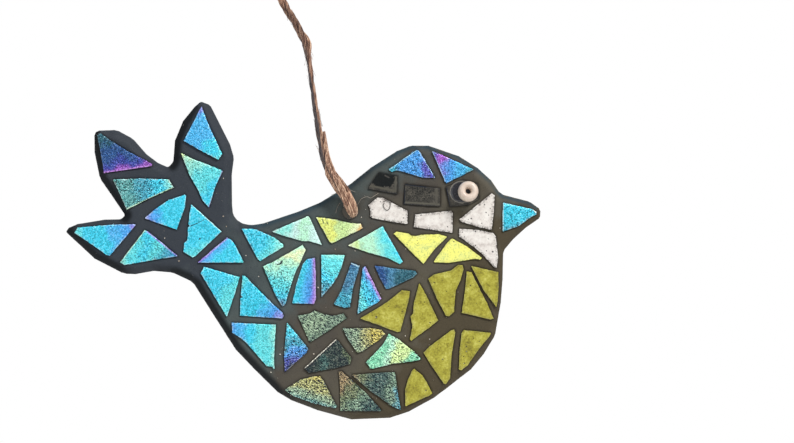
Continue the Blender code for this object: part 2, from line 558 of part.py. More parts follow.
def main():
    clear_scene()
    make_board()
    make_grout()
    make_tiles()
    make_bead()
    jute = finish("jute", *FINISHES["jute"])
    make_twine(jute)
    make_knot(jute)


main()
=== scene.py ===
"""Mosaic bird ornament: its glass, grout, bead and twine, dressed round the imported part."""
import math
import random

import bmesh
import bpy
import numpy as np
from mathutils import Matrix, Vector, noise
from mathutils.geometry import delaunay_2d_cdt
from mathutils.kdtree import KDTree


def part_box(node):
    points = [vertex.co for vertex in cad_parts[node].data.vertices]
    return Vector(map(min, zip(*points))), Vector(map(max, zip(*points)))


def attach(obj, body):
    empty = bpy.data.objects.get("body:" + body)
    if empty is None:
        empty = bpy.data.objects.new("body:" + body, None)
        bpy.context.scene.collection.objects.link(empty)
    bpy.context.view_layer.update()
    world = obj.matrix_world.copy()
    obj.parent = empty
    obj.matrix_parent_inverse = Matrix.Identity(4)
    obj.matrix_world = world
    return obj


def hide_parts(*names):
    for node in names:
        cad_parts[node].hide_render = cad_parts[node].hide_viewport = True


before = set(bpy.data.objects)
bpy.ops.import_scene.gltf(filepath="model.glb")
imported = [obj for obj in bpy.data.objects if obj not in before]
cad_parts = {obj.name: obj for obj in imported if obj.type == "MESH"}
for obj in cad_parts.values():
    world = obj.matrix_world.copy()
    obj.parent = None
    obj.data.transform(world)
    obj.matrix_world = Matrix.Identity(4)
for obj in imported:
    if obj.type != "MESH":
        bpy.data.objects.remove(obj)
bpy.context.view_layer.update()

# Everything below is worked out in millimetres from the centre of the hanging hole, x towards the
# beak, z up and the front at negative y. The part's own origin is where a hook bears in the loop.
METRE = 1000.0
HOOK_AT = Vector((-30.7, 0.0, 88.1))
# Points closer than this in depth lie on one face, and points closer than MERGED are one point
FLAT = 0.002
MERGED = 0.0001

# The photograph: its size in pixels, the hole's place in it and how much of the bird a pixel shows
PHOTO_WIDTH = 794
PHOTO_HEIGHT = 443
HOLE_PIXEL = (350.0, 211.0)
PIXEL = 0.3161

# The hole, the twine and the gap between the board and the floor of the grout's recess
HOLE_RADIUS = 2.5
HOLE_SIDES = 40
BOARD_GAP = 0.3


def place(x, y, z):
    """A point in the part's frame, in metres."""
    return (Vector((x, y, z)) - HOOK_AT) / METRE


def measured(point):
    """A point of the part's frame, in millimetres from the hanging hole."""
    return Vector(point) * METRE + HOOK_AT


def linked(name, data):
    """A new object in the scene."""
    thing = bpy.data.objects.new(name, data)
    bpy.context.scene.collection.objects.link(thing)
    return thing


def angles(count):
    """So many even turns of a circle."""
    return [2 * math.pi * number / count for number in range(count)]


GROUT_FRONT, GROUT_BACK = (measured(corner).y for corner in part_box("grout"))
TILE_FRONT, TILE_BACK = (measured(corner).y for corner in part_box("tail_tile_1"))
RECESS_FLOOR = measured(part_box("backing_board")[0]).y - BOARD_GAP
TILE_NAMES = [name for name in sorted(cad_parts) if "_tile" in name]


class Number:
    """A socket that carries a number, which Python's own operators work on."""

    def __init__(self, tree, socket):
        self.tree = tree
        self.socket = socket

    def maths(self, operation, *values):
        made = self.tree.first("ShaderNodeMath", dict(enumerate(values)), {"operation": operation})
        return Number(self.tree, made)

    def __add__(self, other):
        return self.maths('ADD', self, other)

    def __radd__(self, other):
        return self.maths('ADD', other, self)

    def __sub__(self, other):
        return self.maths('SUBTRACT', self, other)

    def __rsub__(self, other):
        return self.maths('SUBTRACT', other, self)

    def __mul__(self, other):
        return self.maths('MULTIPLY', self, other)

    def __rmul__(self, other):
        return self.maths('MULTIPLY', other, self)

    def __truediv__(self, other):
        return self.maths('DIVIDE', self, other)

    def clear_of(self, start, end):
        """0 at start, 1 at end and smooth in between."""
        inputs = {0: self, 1: start, 2: end}
        settings = {"interpolation_type": 'SMOOTHSTEP'}
        return Number(self.tree, self.tree.first("ShaderNodeMapRange", inputs, settings))

    def rounded_down(self):
        return self.maths('FLOOR', self)

    def root(self):
        return self.maths('SQRT', self)

    def sine(self):
        return self.maths('SINE', self)

    def cosine(self):
        return self.maths('COSINE', self)

    def most(self, other):
        return self.maths('MAXIMUM', self, other)

    def least(self, other):
        return self.maths('MINIMUM', self, other)


class Tree:
    """A node tree that is built with one call for each node."""

    def __init__(self, nodes):
        self.nodes = nodes

    def add(self, kind, settings=None, inputs=None):
        made = self.nodes.nodes.new(kind)
        for name, value in (settings or {}).items():
            setattr(made, name, value)
        for key, value in (inputs or {}).items():
            self.feed(made.inputs[key], value)
        return made

    def feed(self, socket, value):
        if isinstance(value, Number):
            value = value.socket
        if isinstance(value, bpy.types.NodeSocket):
            self.nodes.links.new(value, socket)
        else:
            socket.default_value = value

    def first(self, kind, inputs=None, settings=None):
        """The first output of a new node."""
        return self.add(kind, settings, inputs).outputs[0]

    def vector(self, operation, *values):
        return self.first("ShaderNodeVectorMath", dict(enumerate(values)), {"operation": operation})

    def scaled(self, vector, scale):
        inputs = {0: vector, "Scale": scale}
        return self.first("ShaderNodeVectorMath", inputs, {"operation": 'SCALE'})

    def measure(self, operation, *values):
        """The number that a sum with vectors gives."""
        inputs = dict(enumerate(values))
        made = self.add("ShaderNodeVectorMath", {"operation": operation}, inputs)
        return Number(self, made.outputs["Value"])

    def attribute(self, label, kind):
        return self.first("GeometryNodeInputNamedAttribute", {"Name": label}, {"data_type": kind})

    def end(self, shape, material):
        """The last of a tree of geometry nodes: plain meshes with their material."""
        real = self.first("GeometryNodeRealizeInstances", {0: shape})
        finish = self.first("GeometryNodeSetMaterial", {"Geometry": real, "Material": material})
        self.add("NodeGroupOutput", None, {0: finish})


# A thin stroke is crisp over this share of its width, and one from SOFT_FROM on fades all the way
CRISP_CORE = 0.3
SOFT_FROM = 0.6


class Finish(Tree):
    """A material: its tree, the place of each point in millimetres, its paint and its surface."""

    def __init__(self, name):
        self.material = bpy.data.materials.new(name)
        self.material.use_nodes = True
        super().__init__(self.material.node_tree)
        self.surface = self.nodes.nodes["Principled BSDF"]
        place_here = self.add("ShaderNodeTexCoord").outputs["Object"]
        self.spot = self.vector('MULTIPLY_ADD', place_here, (METRE,) * 3, HOOK_AT)
        self.paint = None

    def along(self, direction):
        """How far each point lies in a direction."""
        return self.measure('DOT_PRODUCT', self.spot, direction)

    def grain(self, scale, detail=2.0, roughness=0.55, distortion=0.0, at=None):
        inputs = {"Vector": self.spot if at is None else at, "Scale": scale, "Detail": detail,
                  "Roughness": roughness, "Distortion": distortion}
        return Number(self, self.first("ShaderNodeTexNoise", inputs))

    def mark(self, name):
        """A mark that is painted on the mesh."""
        made = self.add("ShaderNodeAttribute", {"attribute_name": name})
        return Number(self, made.outputs["Fac"])

    def stroke(self, start, end, width):
        """1 on a thin line between two (x, z) places and 0 off it."""
        start = Vector((start[0], 0.0, start[1]))
        run = Vector((end[0], 0.0, end[1])) - start
        face = self.vector('MULTIPLY', self.spot, (1.0, 0.0, 1.0))
        offset = self.vector('SUBTRACT', face, start)
        part = self.measure('DOT_PRODUCT', offset, run / run.length_squared).most(0.0).least(1.0)
        core = width * CRISP_CORE if width < SOFT_FROM else 0.0
        return self.measure('DISTANCE', offset, self.scaled(run, part)).clear_of(width, core)

    def out_of_oval(self, centre, reach):
        """0 at the middle of an oval on the face and 1 at its edge."""
        offset = self.vector('SUBTRACT', self.spot, (centre[0], 0.0, centre[1]))
        shares = (1.0 / reach[0], 0.0, 1.0 / reach[1])
        return self.measure('LENGTH', self.vector('MULTIPLY', offset, shares))

    def ground(self, factor, stops, interpolation='LINEAR'):
        """The first coat of paint: colours along a ramp."""
        made = self.add("ShaderNodeValToRGB", None, {0: factor})
        elements = made.color_ramp.elements
        made.color_ramp.interpolation = interpolation
        while len(elements) < len(stops):
            elements.new(0.5)
        for element, (position, shade) in zip(elements, stops):
            element.position = position
            element.color = lit(shade)
        self.paint = made.outputs[0]

    def over(self, shade, share):
        """A further coat, as thick as its share."""
        settings = {"data_type": 'RGBA', "clamp_factor": True}
        made = self.add("ShaderNodeMix", settings, {0: share, 6: self.paint, 7: lit(shade)})
        self.paint = made.outputs[2]

    def strokes(self, name):
        for start, end, width, shade in STROKES.get(name, ()):
            self.over(shade, self.stroke(start, end, width))

    def set(self, **values):
        for name, value in values.items():
            self.feed(self.surface.inputs[name.replace("_", " ")], value)

    def finished(self, **values):
        """The material, with its paint and the other values of its surface."""
        self.set(Base_Color=self.paint, **values)
        return self.material

    def bumped(self, relief, distance, strength, **values):
        """The material as above, with the bumps of a relief."""
        inputs = {"Height": relief, "Distance": distance / METRE, "Strength": strength}
        return self.finished(Normal=self.first("ShaderNodeBump", inputs), **values)


def lit(shade):
    """A colour as a screen shows it, each part 0 to 255, turned into light."""
    shares = [value / 255 for value in shade]
    light = [share / 12.92 if share < 0.04 else ((share + 0.055) / 1.055) ** 2.4 for share in shares]
    return (*light, 1.0)


# The colours that the glass shows, as on a screen
PEARL = (204, 242, 232)
CREAM = (232, 244, 190)
LIME = (208, 236, 158)
LEMON = (230, 237, 124)
MINT = (186, 240, 206)
PALE_AQUA = (140, 230, 218)
AQUA = (96, 222, 228)
CYAN = (60, 208, 236)
SKY = (76, 184, 240)
AZURE = (72, 158, 232)
LAKE = (66, 170, 196)
VERDIGRIS = (92, 168, 166)
STEEL = (72, 134, 170)
TEAL = (44, 100, 116)
DENIM = (40, 84, 144)
NAVY = (26, 48, 88)
INDIGO = (64, 74, 170)
IRIS = (90, 88, 186)
VIOLET = (116, 124, 220)
LILAC = (146, 142, 226)
ORCHID = (198, 134, 226)
MAGENTA = (164, 92, 200)
ORANGE = (240, 196, 124)
GOLD = (212, 196, 84)
STRAW = (186, 186, 112)
JADE = (128, 214, 172)
SAGE = (152, 184, 148)
LICHEN = (122, 156, 130)
MOSS = (104, 120, 80)
BRONZE = (158, 134, 90)
PINE = (52, 94, 88)
BOTTLE = (34, 56, 50)
NIGHT = (12, 20, 34)
FROST = (226, 246, 246)
IVORY = (244, 240, 224)

# Iridescent glass: the heading its colours run along in degrees from +x, the colours in order,
# how heavy the dark grain, painted shade in the hollows of the relief, is at the start and at the
# end, and how far the surface is rippled
LUSTRE = {
    "tail_tile_1": (-78, (TEAL, TEAL, DENIM, DENIM, INDIGO, MAGENTA), (1.1, 1.1), 0.1),
    "tail_tile_2": (8, (VERDIGRIS, VERDIGRIS, LAKE, CYAN, PALE_AQUA), (1.5, 1.1), 0.2),
    "tail_tile_3": (-50, (VIOLET, SKY, SKY, SKY, CYAN, CYAN, AQUA), (0.7, 0.7), 0.0),
    "tail_tile_4": (-50, (LIME, MINT, PALE_AQUA, AQUA, AQUA, CYAN, CYAN), (1.1, 0.6), 0.1),
    "tail_tile_5": (-5, (AQUA, CYAN, CYAN, CYAN, SKY, AZURE, LILAC), (0.8, 0.5), 0.0),
    "tail_tile_6": (-12, (PALE_AQUA, AQUA, CYAN, AQUA, LAKE, AZURE), (0.7, 1.1), 0.1),
    "tail_tile_7": (20, (LILAC, AZURE, CYAN, CYAN, CYAN, CYAN), (0.5, 0.5), 0.0),
    "tail_tile_8": (-60, (CYAN, CYAN, CYAN, CYAN, AQUA), (0.6, 0.6), 0.0),
    "flank_tile_1": (-40, (VIOLET, SKY, CYAN, CYAN, CYAN, AQUA), (0.4, 0.6), 0.0),
    "flank_tile_2": (-25, (CYAN, CYAN, CYAN, AQUA, PALE_AQUA), (0.9, 0.8), 0.0),
    "flank_tile_3": (-35, (CYAN, CYAN, CYAN, AQUA, AQUA), (0.8, 0.8), 0.0),
    "flank_tile_4": (-35, (AQUA, CYAN, CYAN, CYAN, SKY, AZURE, LILAC), (0.8, 0.7), 0.1),
    "flank_tile_5": (0, (AZURE, SKY, CYAN, AQUA, AQUA, PALE_AQUA), (0.6, 0.8), 0.0),
    "flank_tile_6": (-75, (AQUA, CYAN, LAKE, LAKE, AZURE, INDIGO, NAVY), (1.0, 1.5), 0.5),
    "back_tile_1": (-15, (PEARL, PALE_AQUA, PEARL, MINT, PEARL, PEARL), (0.6, 0.5), 0.1),
    "back_tile_2": (-5, (LEMON, LEMON, LEMON, LIME, LIME, CREAM, ORANGE), (0.6, 0.5), 0.1),
    "back_tile_3": (20, (CREAM, LIME, MINT, MINT, PALE_AQUA, AQUA, CYAN), (0.4, 0.4), 0.1),
    "wing_tile_1": (-105, (MINT, CREAM, MINT, PALE_AQUA, AQUA, CYAN, STEEL), (0.3, 1.7), 0.3),
    "wing_tile_2": (-15, (CYAN, CYAN, SKY, AZURE, VIOLET, ORCHID), (0.8, 0.6), 0.1),
    "wing_tile_3": (70, (STEEL, LAKE, CYAN, AQUA, AQUA, PALE_AQUA), (1.9, 0.4), 0.4),
    "wing_tile_4": (-80, (DENIM, STEEL, STEEL, LAKE, LAKE), (0.8, 1.3), 0.3),
    "wing_tile_5": (25, (LAKE, AQUA, AQUA, CYAN, SKY, LILAC), (1.6, 1.0), 0.3),
    "wing_tile_6": (-10, (DENIM, DENIM, STEEL, TEAL, TEAL, TEAL), (0.8, 1.0), 0.2),
    "belly_tile_1": (-40, (LICHEN, SAGE, SAGE, LICHEN, LICHEN), (1.5, 1.5), 1.0),
    "belly_tile_2": (10, (LICHEN, SAGE, STRAW, GOLD, GOLD), (1.9, 1.2), 0.9),
    "belly_tile_3": (10, (NIGHT, BOTTLE, PINE, BOTTLE, BOTTLE, MOSS), (0.8, 1.6), 0.6),
    "belly_tile_4": (-25, (JADE, JADE, MINT, LIME, LIME, JADE, JADE), (1.0, 1.1), 0.5),
    "belly_tile_5": (75, (VERDIGRIS, SAGE, STRAW, STRAW, GOLD), (1.6, 1.4), 0.9),
    "belly_tile_6": (-40, (BRONZE, BRONZE, MOSS, LICHEN, PINE, PINE), (1.3, 1.3), 0.9),
    "belly_tile_7": (-10, (BRONZE, MOSS, PINE, PINE, LICHEN, LAKE), (1.5, 1.3), 0.9),
    "cap_tile_1": (5, (CYAN, LAKE, AZURE, AZURE, AZURE, IRIS, IRIS), (1.1, 1.3), 0.1),
    "cap_tile_2": (-25, (IRIS, MAGENTA, AZURE, SKY, LAKE), (0.9, 0.9), 0.1),
    "beak_tile": (-70, (CYAN, CYAN, CYAN, CYAN, LAKE), (0.8, 1.1), 0.1),
}

# Small pits in the glass: x, z and radius
PITS = {
    "tail_tile_5": ((-75.6, -4.9, 0.25),),
    "tail_tile_8": ((-47.5, -8.8, 0.35),),
    "flank_tile_4": ((-34.2, -27.2, 0.3),),
    "beak_tile": ((53.3, -0.8, 0.22), (52.9, -4.6, 0.25)),
    "back_tile_2": ((-2.5, -5.8, 0.18), (-1.2, -6.6, 0.2), (0.2, -7.2, 0.16)),
    "belly_tile_4": ((12.6, -47.8, 0.45),),
    "cheek_tile_1": ((9.6, 2.9, 0.2), (14.9, 1.4, 0.16), (16.9, -2.2, 0.22), (16.2, -3.4, 0.2),
                     (7.2, 0.4, 0.14)),
    "cheek_tile_2": ((22.4, -1.4, 0.2), (28.4, -2.2, 0.14), (30.8, -5.0, 0.25), (24.9, -4.6, 0.12)),
    "cheek_tile_3": ((43.1, 3.7, 0.28), (41.0, 1.9, 0.22), (42.5, 2.0, 0.26), (44.3, 0.8, 0.2),
                     (43.0, -0.5, 0.26), (43.8, -1.3, 0.2), (38.3, -2.4, 0.3), (37.4, -2.7, 0.18),
                     (41.6, -3.9, 0.2)),
    "cheek_tile_4": ((35.5, -6.7, 0.22), (39.6, -6.5, 0.26), (43.7, -8.8, 0.16),
                     (36.2, -8.2, 0.2), (39.6, -10.9, 0.24), (43.1, -12.6, 0.22),
                     (45.1, -12.9, 0.36)),
    "throat_tile_1": ((19.7, -8.2, 0.2), (21.2, -9.3, 0.16), (21.4, -10.3, 0.16),
                      (18.1, -10.6, 0.14)),
    "throat_tile_2": ((32.8, -9.7, 0.26),),
    "breast_tile_1": ((26.6, -22.6, 0.25), (30.5, -25.4, 0.2)),
    "breast_tile_3": ((38.0, -23.6, 0.25), (39.9, -29.2, 0.18)),
    "breast_tile_4": ((23.5, -28.8, 0.22), (25.3, -35.3, 0.26)),
    "breast_tile_5": ((8.3, -33.5, 0.35), (16.5, -31.8, 0.22), (12.1, -30.2, 0.16)),
    "breast_tile_6": ((29.3, -46.9, 0.25), (27.9, -42.2, 0.15)),
    "breast_tile_7": ((24.0, -56.7, 0.28), (20.8, -55.1, 0.16)),
    "breast_tile_8": ((39.0, -40.3, 0.2), (36.8, -42.8, 0.26), (36.9, -44.4, 0.24),
                      (35.9, -46.0, 0.2), (36.2, -48.1, 0.24), (40.9, -41.2, 0.2)),
}

# Pale specks of sand in the grout: x, z and size
GRAINS = (
    (-40.1, -1.7, 0.42), (-39.1, -4.9, 0.34), (-54.1, -15.8, 0.46), (-58.6, -8.6, 0.34),
    (-32.9, -14.1, 0.36), (-28.9, -20.7, 0.42), (-26.1, -3.9, 0.32), (-4.7, -12.1, 0.36),
    (1.6, -12.6, 0.34), (-10.1, -24.2, 0.5), (-11.5, -45.2, 0.44), (-22.1, -45.3, 0.36),
    (-25.0, -51.0, 0.38), (17.5, -39.5, 0.38), (25.2, -40.5, 0.34), (17.6, -12.0, 0.34),
    (-40.0, 10.3, 0.36), (47.4, -5.4, 0.34), (3.6, -2.0, 0.34),
)

# Mesh spacing along a cut edge, over the glass, over the grout and along the outline
CUT_STEP = 0.45
GLASS_STEP = 0.42
GROUT_STEP = 0.46
RIM_STEP = 0.5

# A nipped edge: how far the glass's edge is set in and wavers, how fine its slow and its quick
# waves are, and the quick ones' share
CUT_SET_IN = 0.03
CUT_WAVER = 0.09
LUSTRE_CUT_WAVER = 0.11
SLOW_WAVES = 0.9
QUICK_WAVES = 3.1
QUICK_SHARE = 0.35

# Scattered points: the spacing of their rows and how far each is moved, as shares of the step
ROW_SHARE = 0.87
SCATTER = 0.22


def loops_at(node, depth):
    """The closed loops of (x, z) points round a node's flat face at one depth, longest first."""
    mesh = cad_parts[node].data
    corners = [measured(vertex.co) for vertex in mesh.vertices]
    edges = set()
    for face in mesh.polygons:
        if any(abs(corners[i].y - depth) > FLAT for i in face.vertices):
            continue
        marks = [(round(corners[i].x, 3), round(corners[i].z, 3)) for i in face.vertices]
        for one, other in zip(marks, marks[1:] + marks[:1]):
            if (other, one) in edges:
                edges.remove((other, one))
            else:
                edges.add((one, other))
    following = dict(edges)
    loops = []
    while following:
        start, spot = next(iter(following.items()))
        del following[start]
        loop = [start]
        while spot != start:
            loop.append(spot)
            spot = following.pop(spot)
        loops.append([Vector(point) for point in loop])
    return sorted(loops, key=around, reverse=True)


def around(loop):
    return sum((one - other).length for one, other in zip(loop, loop[1:] + loop[:1]))


def clockwise(loop):
    """The same loop, wound so that its inside lies to the right of each edge."""
    area = sum(one.cross(other) for one, other in zip(loop, loop[1:] + loop[:1]))
    return loop if area < 0 else loop[::-1]


def ripple(x, z, scale, seed):
    return noise.noise(Vector((x * scale, z * scale, seed)))


def rough_edge(loop, step, set_in, wobble, seed):
    """A clockwise loop with close points, moved in and out a little as nipped glass breaks."""
    points = []
    for corner, after in zip(loop, loop[1:] + loop[:1]):
        run = after - corner
        count = max(1, round(run.length / step))
        inwards = Vector((run.y, -run.x)).normalized()
        for number in range(count):
            point = corner + run * (number / count)
            if number:
                slow = ripple(point.x, point.y, SLOW_WAVES, seed)
                quick = ripple(point.x, point.y, QUICK_WAVES, seed + 7)
                point = point + inwards * (set_in + wobble * (slow + QUICK_SHARE * quick))
            points.append(point)
    return points


# How many of the nearest edges are looked at for a distance, and for the way that an outline faces
NEAR_EDGES = 4
NEAR_FACINGS = 7


def gaps(points, loops):
    """Each point's distance to the nearest edge of any of the loops, whose edges are short."""
    edges = [pair for loop in loops for pair in zip(loop, loop[1:] + loop[:1])]
    tree = KDTree(len(edges))
    for number, (one, other) in enumerate(edges):
        tree.insert(((one + other) / 2).to_3d(), number)
    tree.balance()
    nearest = []
    for point in points:
        spot = Vector(point)
        reach = math.inf
        for _, number, _ in tree.find_n(spot.to_3d(), NEAR_EDGES):
            one, other = edges[number]
            run = other - one
            part = min(1.0, max(0.0, (spot - one).dot(run) / max(run.length_squared, 1e-12)))
            reach = min(reach, (spot - one - run * part).length)
        nearest.append(reach)
    return np.array(nearest)


def outwards(points, loop):
    """The direction that the nearest stretch of a clockwise loop of short edges faces."""
    tree = KDTree(len(loop))
    faced = []
    for number, (one, other) in enumerate(zip(loop, loop[1:] + loop[:1])):
        tree.insert(((one + other) / 2).to_3d(), number)
        faced.append(Vector((one.y - other.y, other.x - one.x)).normalized())
    tree.balance()
    found = []
    for point in points:
        near = tree.find_n(Vector(point).to_3d(), NEAR_FACINGS)
        found.append(sum((faced[number] for _, number, _ in near), Vector((0.0, 0.0))).normalized())
    return found


def inside(points, loop):
    """True for each point that lies within a loop."""
    points = np.asarray(points, float)
    corners = np.array([tuple(point) for point in loop])
    near = (points > corners.min(0)).all(1) & (points < corners.max(0)).all(1)
    x, z = points[near].T
    odd = np.zeros(len(x), bool)
    for one, other in zip(corners, np.roll(corners, -1, 0)):
        if one[1] == other[1]:
            continue
        crosses = (z < one[1]) != (z < other[1])
        at = one[0] + (z - one[1]) * (other[0] - one[0]) / (other[1] - one[1])
        odd ^= crosses & (x < at)
    within = np.zeros(len(points), bool)
    within[near] = odd
    return within


def lattice(loop, step, seed):
    """Scattered but even points over a loop's box."""
    draw = np.random.default_rng(seed)
    low = np.min([tuple(point) for point in loop], axis=0)
    high = np.max([tuple(point) for point in loop], axis=0)
    rows = np.arange(low[1], high[1], step * ROW_SHARE)
    across = np.arange(low[0], high[0], step)
    spots = np.array([(x + step / 2 * (number % 2), z) for number, z in enumerate(rows)
                      for x in across])
    return spots + draw.uniform(-SCATTER * step, SCATTER * step, spots.shape)


def triangulated(loops, points):
    """Triangles over the region inside the first loop and outside the others."""
    flat = []
    edges = []
    for loop in loops:
        first = len(flat)
        count = len(loop)
        flat.extend(Vector(point) for point in loop)
        edges.extend((first + i, first + (i + 1) % count) for i in range(count))
    flat.extend(Vector(point) for point in points)
    made, _, faces, *_ = delaunay_2d_cdt(flat, edges, [], 1, 1e-6, False)
    middles = [sum((made[i] for i in face), Vector((0.0, 0.0))) / len(face) for face in faces]
    keep = inside(middles, loops[0])
    for loop in loops[1:]:
        keep &= ~inside(middles, loop)
    return made, [face for face, kept in zip(faces, keep) if kept]


class Body:
    """A closed shell while it is being made, in millimetres, with painted marks on its points."""

    def __init__(self, *marks):
        self.mesh = bmesh.new()
        self.layers = {mark: self.mesh.verts.layers.float.new(mark) for mark in marks}

    def point(self, x, y, z, **marks):
        made = self.mesh.verts.new(place(x, y, z))
        for mark, value in marks.items():
            made[self.layers[mark]] = value
        return made

    def sheet(self, points, faces, height, **marks):
        """Triangles over (x, z) points at the depth that height gives for each point."""
        made = []
        for number, point in enumerate(points):
            values = {mark: value[number] for mark, value in marks.items()}
            made.append(self.point(point[0], height[number], point[1], **values))
        for face in faces:
            self.mesh.faces.new([made[i] for i in face])

    def wall(self, loop, front, back, **marks):
        """A strip of faces along a loop, from the depths in front to the depths in back."""
        ahead = [self.point(point[0], y, point[1], **marks) for point, y in zip(loop, front)]
        behind = [self.point(point[0], y, point[1], **marks) for point, y in zip(loop, back)]
        self.band(ahead, behind)

    def band(self, ring, following):
        """A strip of faces between two closed rings of points."""
        for i, point in enumerate(ring):
            j = (i + 1) % len(ring)
            self.mesh.faces.new((point, ring[j], following[j], following[i]))

    def flat(self, loops, depth):
        """A plain face at one depth, inside the first loop and outside the others."""
        points, faces = triangulated(loops, [])
        self.sheet(points, faces, [depth] * len(points))

    def finished(self, name, material, smooth_angle=None):
        bmesh.ops.remove_doubles(self.mesh, verts=self.mesh.verts, dist=MERGED / METRE)
        bmesh.ops.recalc_face_normals(self.mesh, faces=self.mesh.faces)
        data = bpy.data.meshes.new(name)
        self.mesh.to_mesh(data)
        self.mesh.free()
        data.shade_smooth()
        if smooth_angle is not None:
            data.set_sharp_from_angle(angle=math.radians(smooth_angle))
        data.materials.append(material)
        thing = linked(name, data)
        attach(thing, "root")
        return thing


# Camera, as far away as a long lens needs for the photograph's nearly flat view
CAMERA_DISTANCE = 1500.0
SENSOR = 36.0
CLIP_END = 20.0


def set_camera():
    data = bpy.data.cameras.new("camera")
    data.sensor_width = SENSOR
    data.lens = SENSOR * CAMERA_DISTANCE / (PHOTO_WIDTH * PIXEL)
    data.clip_end = CLIP_END
    camera = linked("camera", data)
    middle_x = (PHOTO_WIDTH / 2 - HOLE_PIXEL[0]) * PIXEL
    middle_z = (HOLE_PIXEL[1] - PHOTO_HEIGHT / 2) * PIXEL
    camera.location = place(middle_x, TILE_FRONT - CAMERA_DISTANCE, middle_z)
    camera.rotation_euler = (math.radians(90), 0.0, 0.0)
    bpy.context.scene.camera = camera


# Twine: its route, up in front of the bird, over the hook and down behind it
TWINE_ROUTE = (
    (0.0, -0.15, 0.0), (0.0, -0.9, 0.0), (-0.1, -3.5, 0.6), (-0.6, -5.4, 2.5),
    (-1.8, -6.2, 5.2), (-4.0, -6.2, 9.0), (-6.2, -5.3, 12.8), (-7.9, -3.7, 17.2),
    (-8.9, -2.4, 22.2), (-9.8, -1.8, 27.2), (-10.9, -1.6, 33.5), (-12.0, -1.6, 40.5),
    (-12.9, -1.6, 47.0), (-13.8, -1.9, 52.6), (-15.9, -2.7, 57.0), (-18.6, -3.8, 61.6),
    (-21.8, -4.8, 66.8), (-25.2, -5.3, 72.2), (-28.0, -5.4, 77.2), (-29.8, -5.4, 81.2),
    (-30.6, -4.9, 86.2), (-30.7, -2.8, 88.6), (-30.7, 0.0, 89.4), (-30.7, 2.8, 88.6),
    (-30.6, 4.9, 86.2), (-29.8, 5.4, 81.2), (-28.0, 5.4, 77.2), (-25.2, 5.3, 72.2),
    (-21.8, 4.8, 66.8), (-18.5, 3.8, 61.6), (-15.9, 2.7, 57.0), (-13.9, 1.9, 52.6),
    (-13.0, 1.6, 47.0), (-12.2, 1.6, 40.5), (-11.3, 1.6, 33.5), (-10.5, 1.8, 27.2),
    (-9.7, 2.4, 22.2), (-8.7, 3.7, 17.2), (-7.0, 5.3, 12.8), (-4.8, 6.2, 9.0),
    (-2.3, 6.2, 5.2), (-1.0, 5.4, 2.5), (-0.3, 3.5, 0.6), (0.0, 0.9, 0.0),
    (0.0, 0.15, 0.0),
)

# The spacing of its points, the point of its route where the knot is, and its plies of fibres
TWINE_STEP = 0.7
KNOT_ROUTE_POINT = 27
PLIES = 3
FIBRES = 14
PLY_RADIUS = 0.5
BUNDLE_RADIUS = 0.5
FIBRE_RADIUS = 0.16
TWIST_LENGTH = 24.0

# The share of its twist that the twine still has at each height, where it opens into the hole
KEPT_TWIST = ((8.0, 0.15), (24.0, 1.0))

# How far the twine is spread at each height, in front and behind
FRONT_SPREAD = ((0.0, 1.2), (1.5, 1.6), (3.0, 2.0), (6.0, 2.1), (9.5, 1.8), (14.0, 1.2), (20.0, 0.85),
                (24.0, 0.68), (30.0, 0.68), (47.0, 0.78), (51.0, 1.2), (52.8, 1.7), (55.0, 1.35),
                (57.5, 1.2), (66.0, 1.3))
REAR_SPREAD = ((0.0, 2.3), (3.0, 1.4), (12.0, 0.95), (24.0, 0.68), (47.0, 0.72), (53.0, 1.1),
               (58.0, 0.95))

# A guide that runs up and down starts out with this sideways direction
SIDEWAYS = (1.0, 0.0, 0.0)

# A route is worked out in so many parts between two of its points
ROUTE_PARTS = 20


def smooth_route(points, spacing):
    """Evenly spaced points of the smooth curve that runs through a route's own points."""
    route = [Vector(point) for point in points]
    ends = [2 * route[0] - route[1], *route, 2 * route[-1] - route[-2]]
    fine = []
    for before, start, end, after in zip(ends, ends[1:], ends[2:], ends[3:]):
        for step in range(ROUTE_PARTS):
            t = step / ROUTE_PARTS
            bend = (-before + 3 * start - 3 * end + after) * t ** 3
            bend += (2 * before - 5 * start + 4 * end - after) * t ** 2
            fine.append((bend + (end - before) * t + 2 * start) / 2)
    fine.append(route[-1])
    lengths = [0.0]
    for one, other in zip(fine, fine[1:]):
        lengths.append(lengths[-1] + (other - one).length)
    count = round(lengths[-1] / spacing)
    along = np.linspace(0.0, lengths[-1], count + 1)
    axes = [np.interp(along, lengths, [point[axis] for point in fine]) for axis in range(3)]
    return [Vector(point) for point in zip(*axes)]


def guide(points, turn, spread, first_side):
    """A line for fibres to follow, with its sideways direction, its twist and how far it opens."""
    rows = []
    side = Vector(first_side)
    twist = 0.0
    for number, point in enumerate(points):
        before = points[max(0, number - 1)]
        after = points[min(len(points) - 1, number + 1)]
        ahead = (after - before).normalized()
        side = (side - ahead * side.dot(ahead)).normalized()
        if number:
            twist += turn(number) * (point - points[number - 1]).length
        rows.append((point, side, ahead.cross(side), twist, spread(number)))
    return rows


def node_group(name, inputs):
    """A new tree of geometry nodes, and the value of each plain input by its identifier."""
    group = bpy.data.node_groups.new(name, "GeometryNodeTree")
    values = []
    for label, kind, value in inputs:
        socket = group.interface.new_socket(label, in_out='INPUT', socket_type="NodeSocket" + kind)
        if value is not None:
            values.append((socket.identifier, value))
    group.interface.new_socket("Geometry", in_out='OUTPUT', socket_type="NodeSocketGeometry")
    return Tree(group), values


# Within a ply each fibre turns this much faster than the plies, and each ply's fibres start at an
# angle of their own. A fibre is a tube of few sides that thickens a little where the twine opens.
FIBRE_TWIST = 1.6
PLY_PHASE = 1.3
FIBRE_SIDES = 5
THICKENING = 0.35


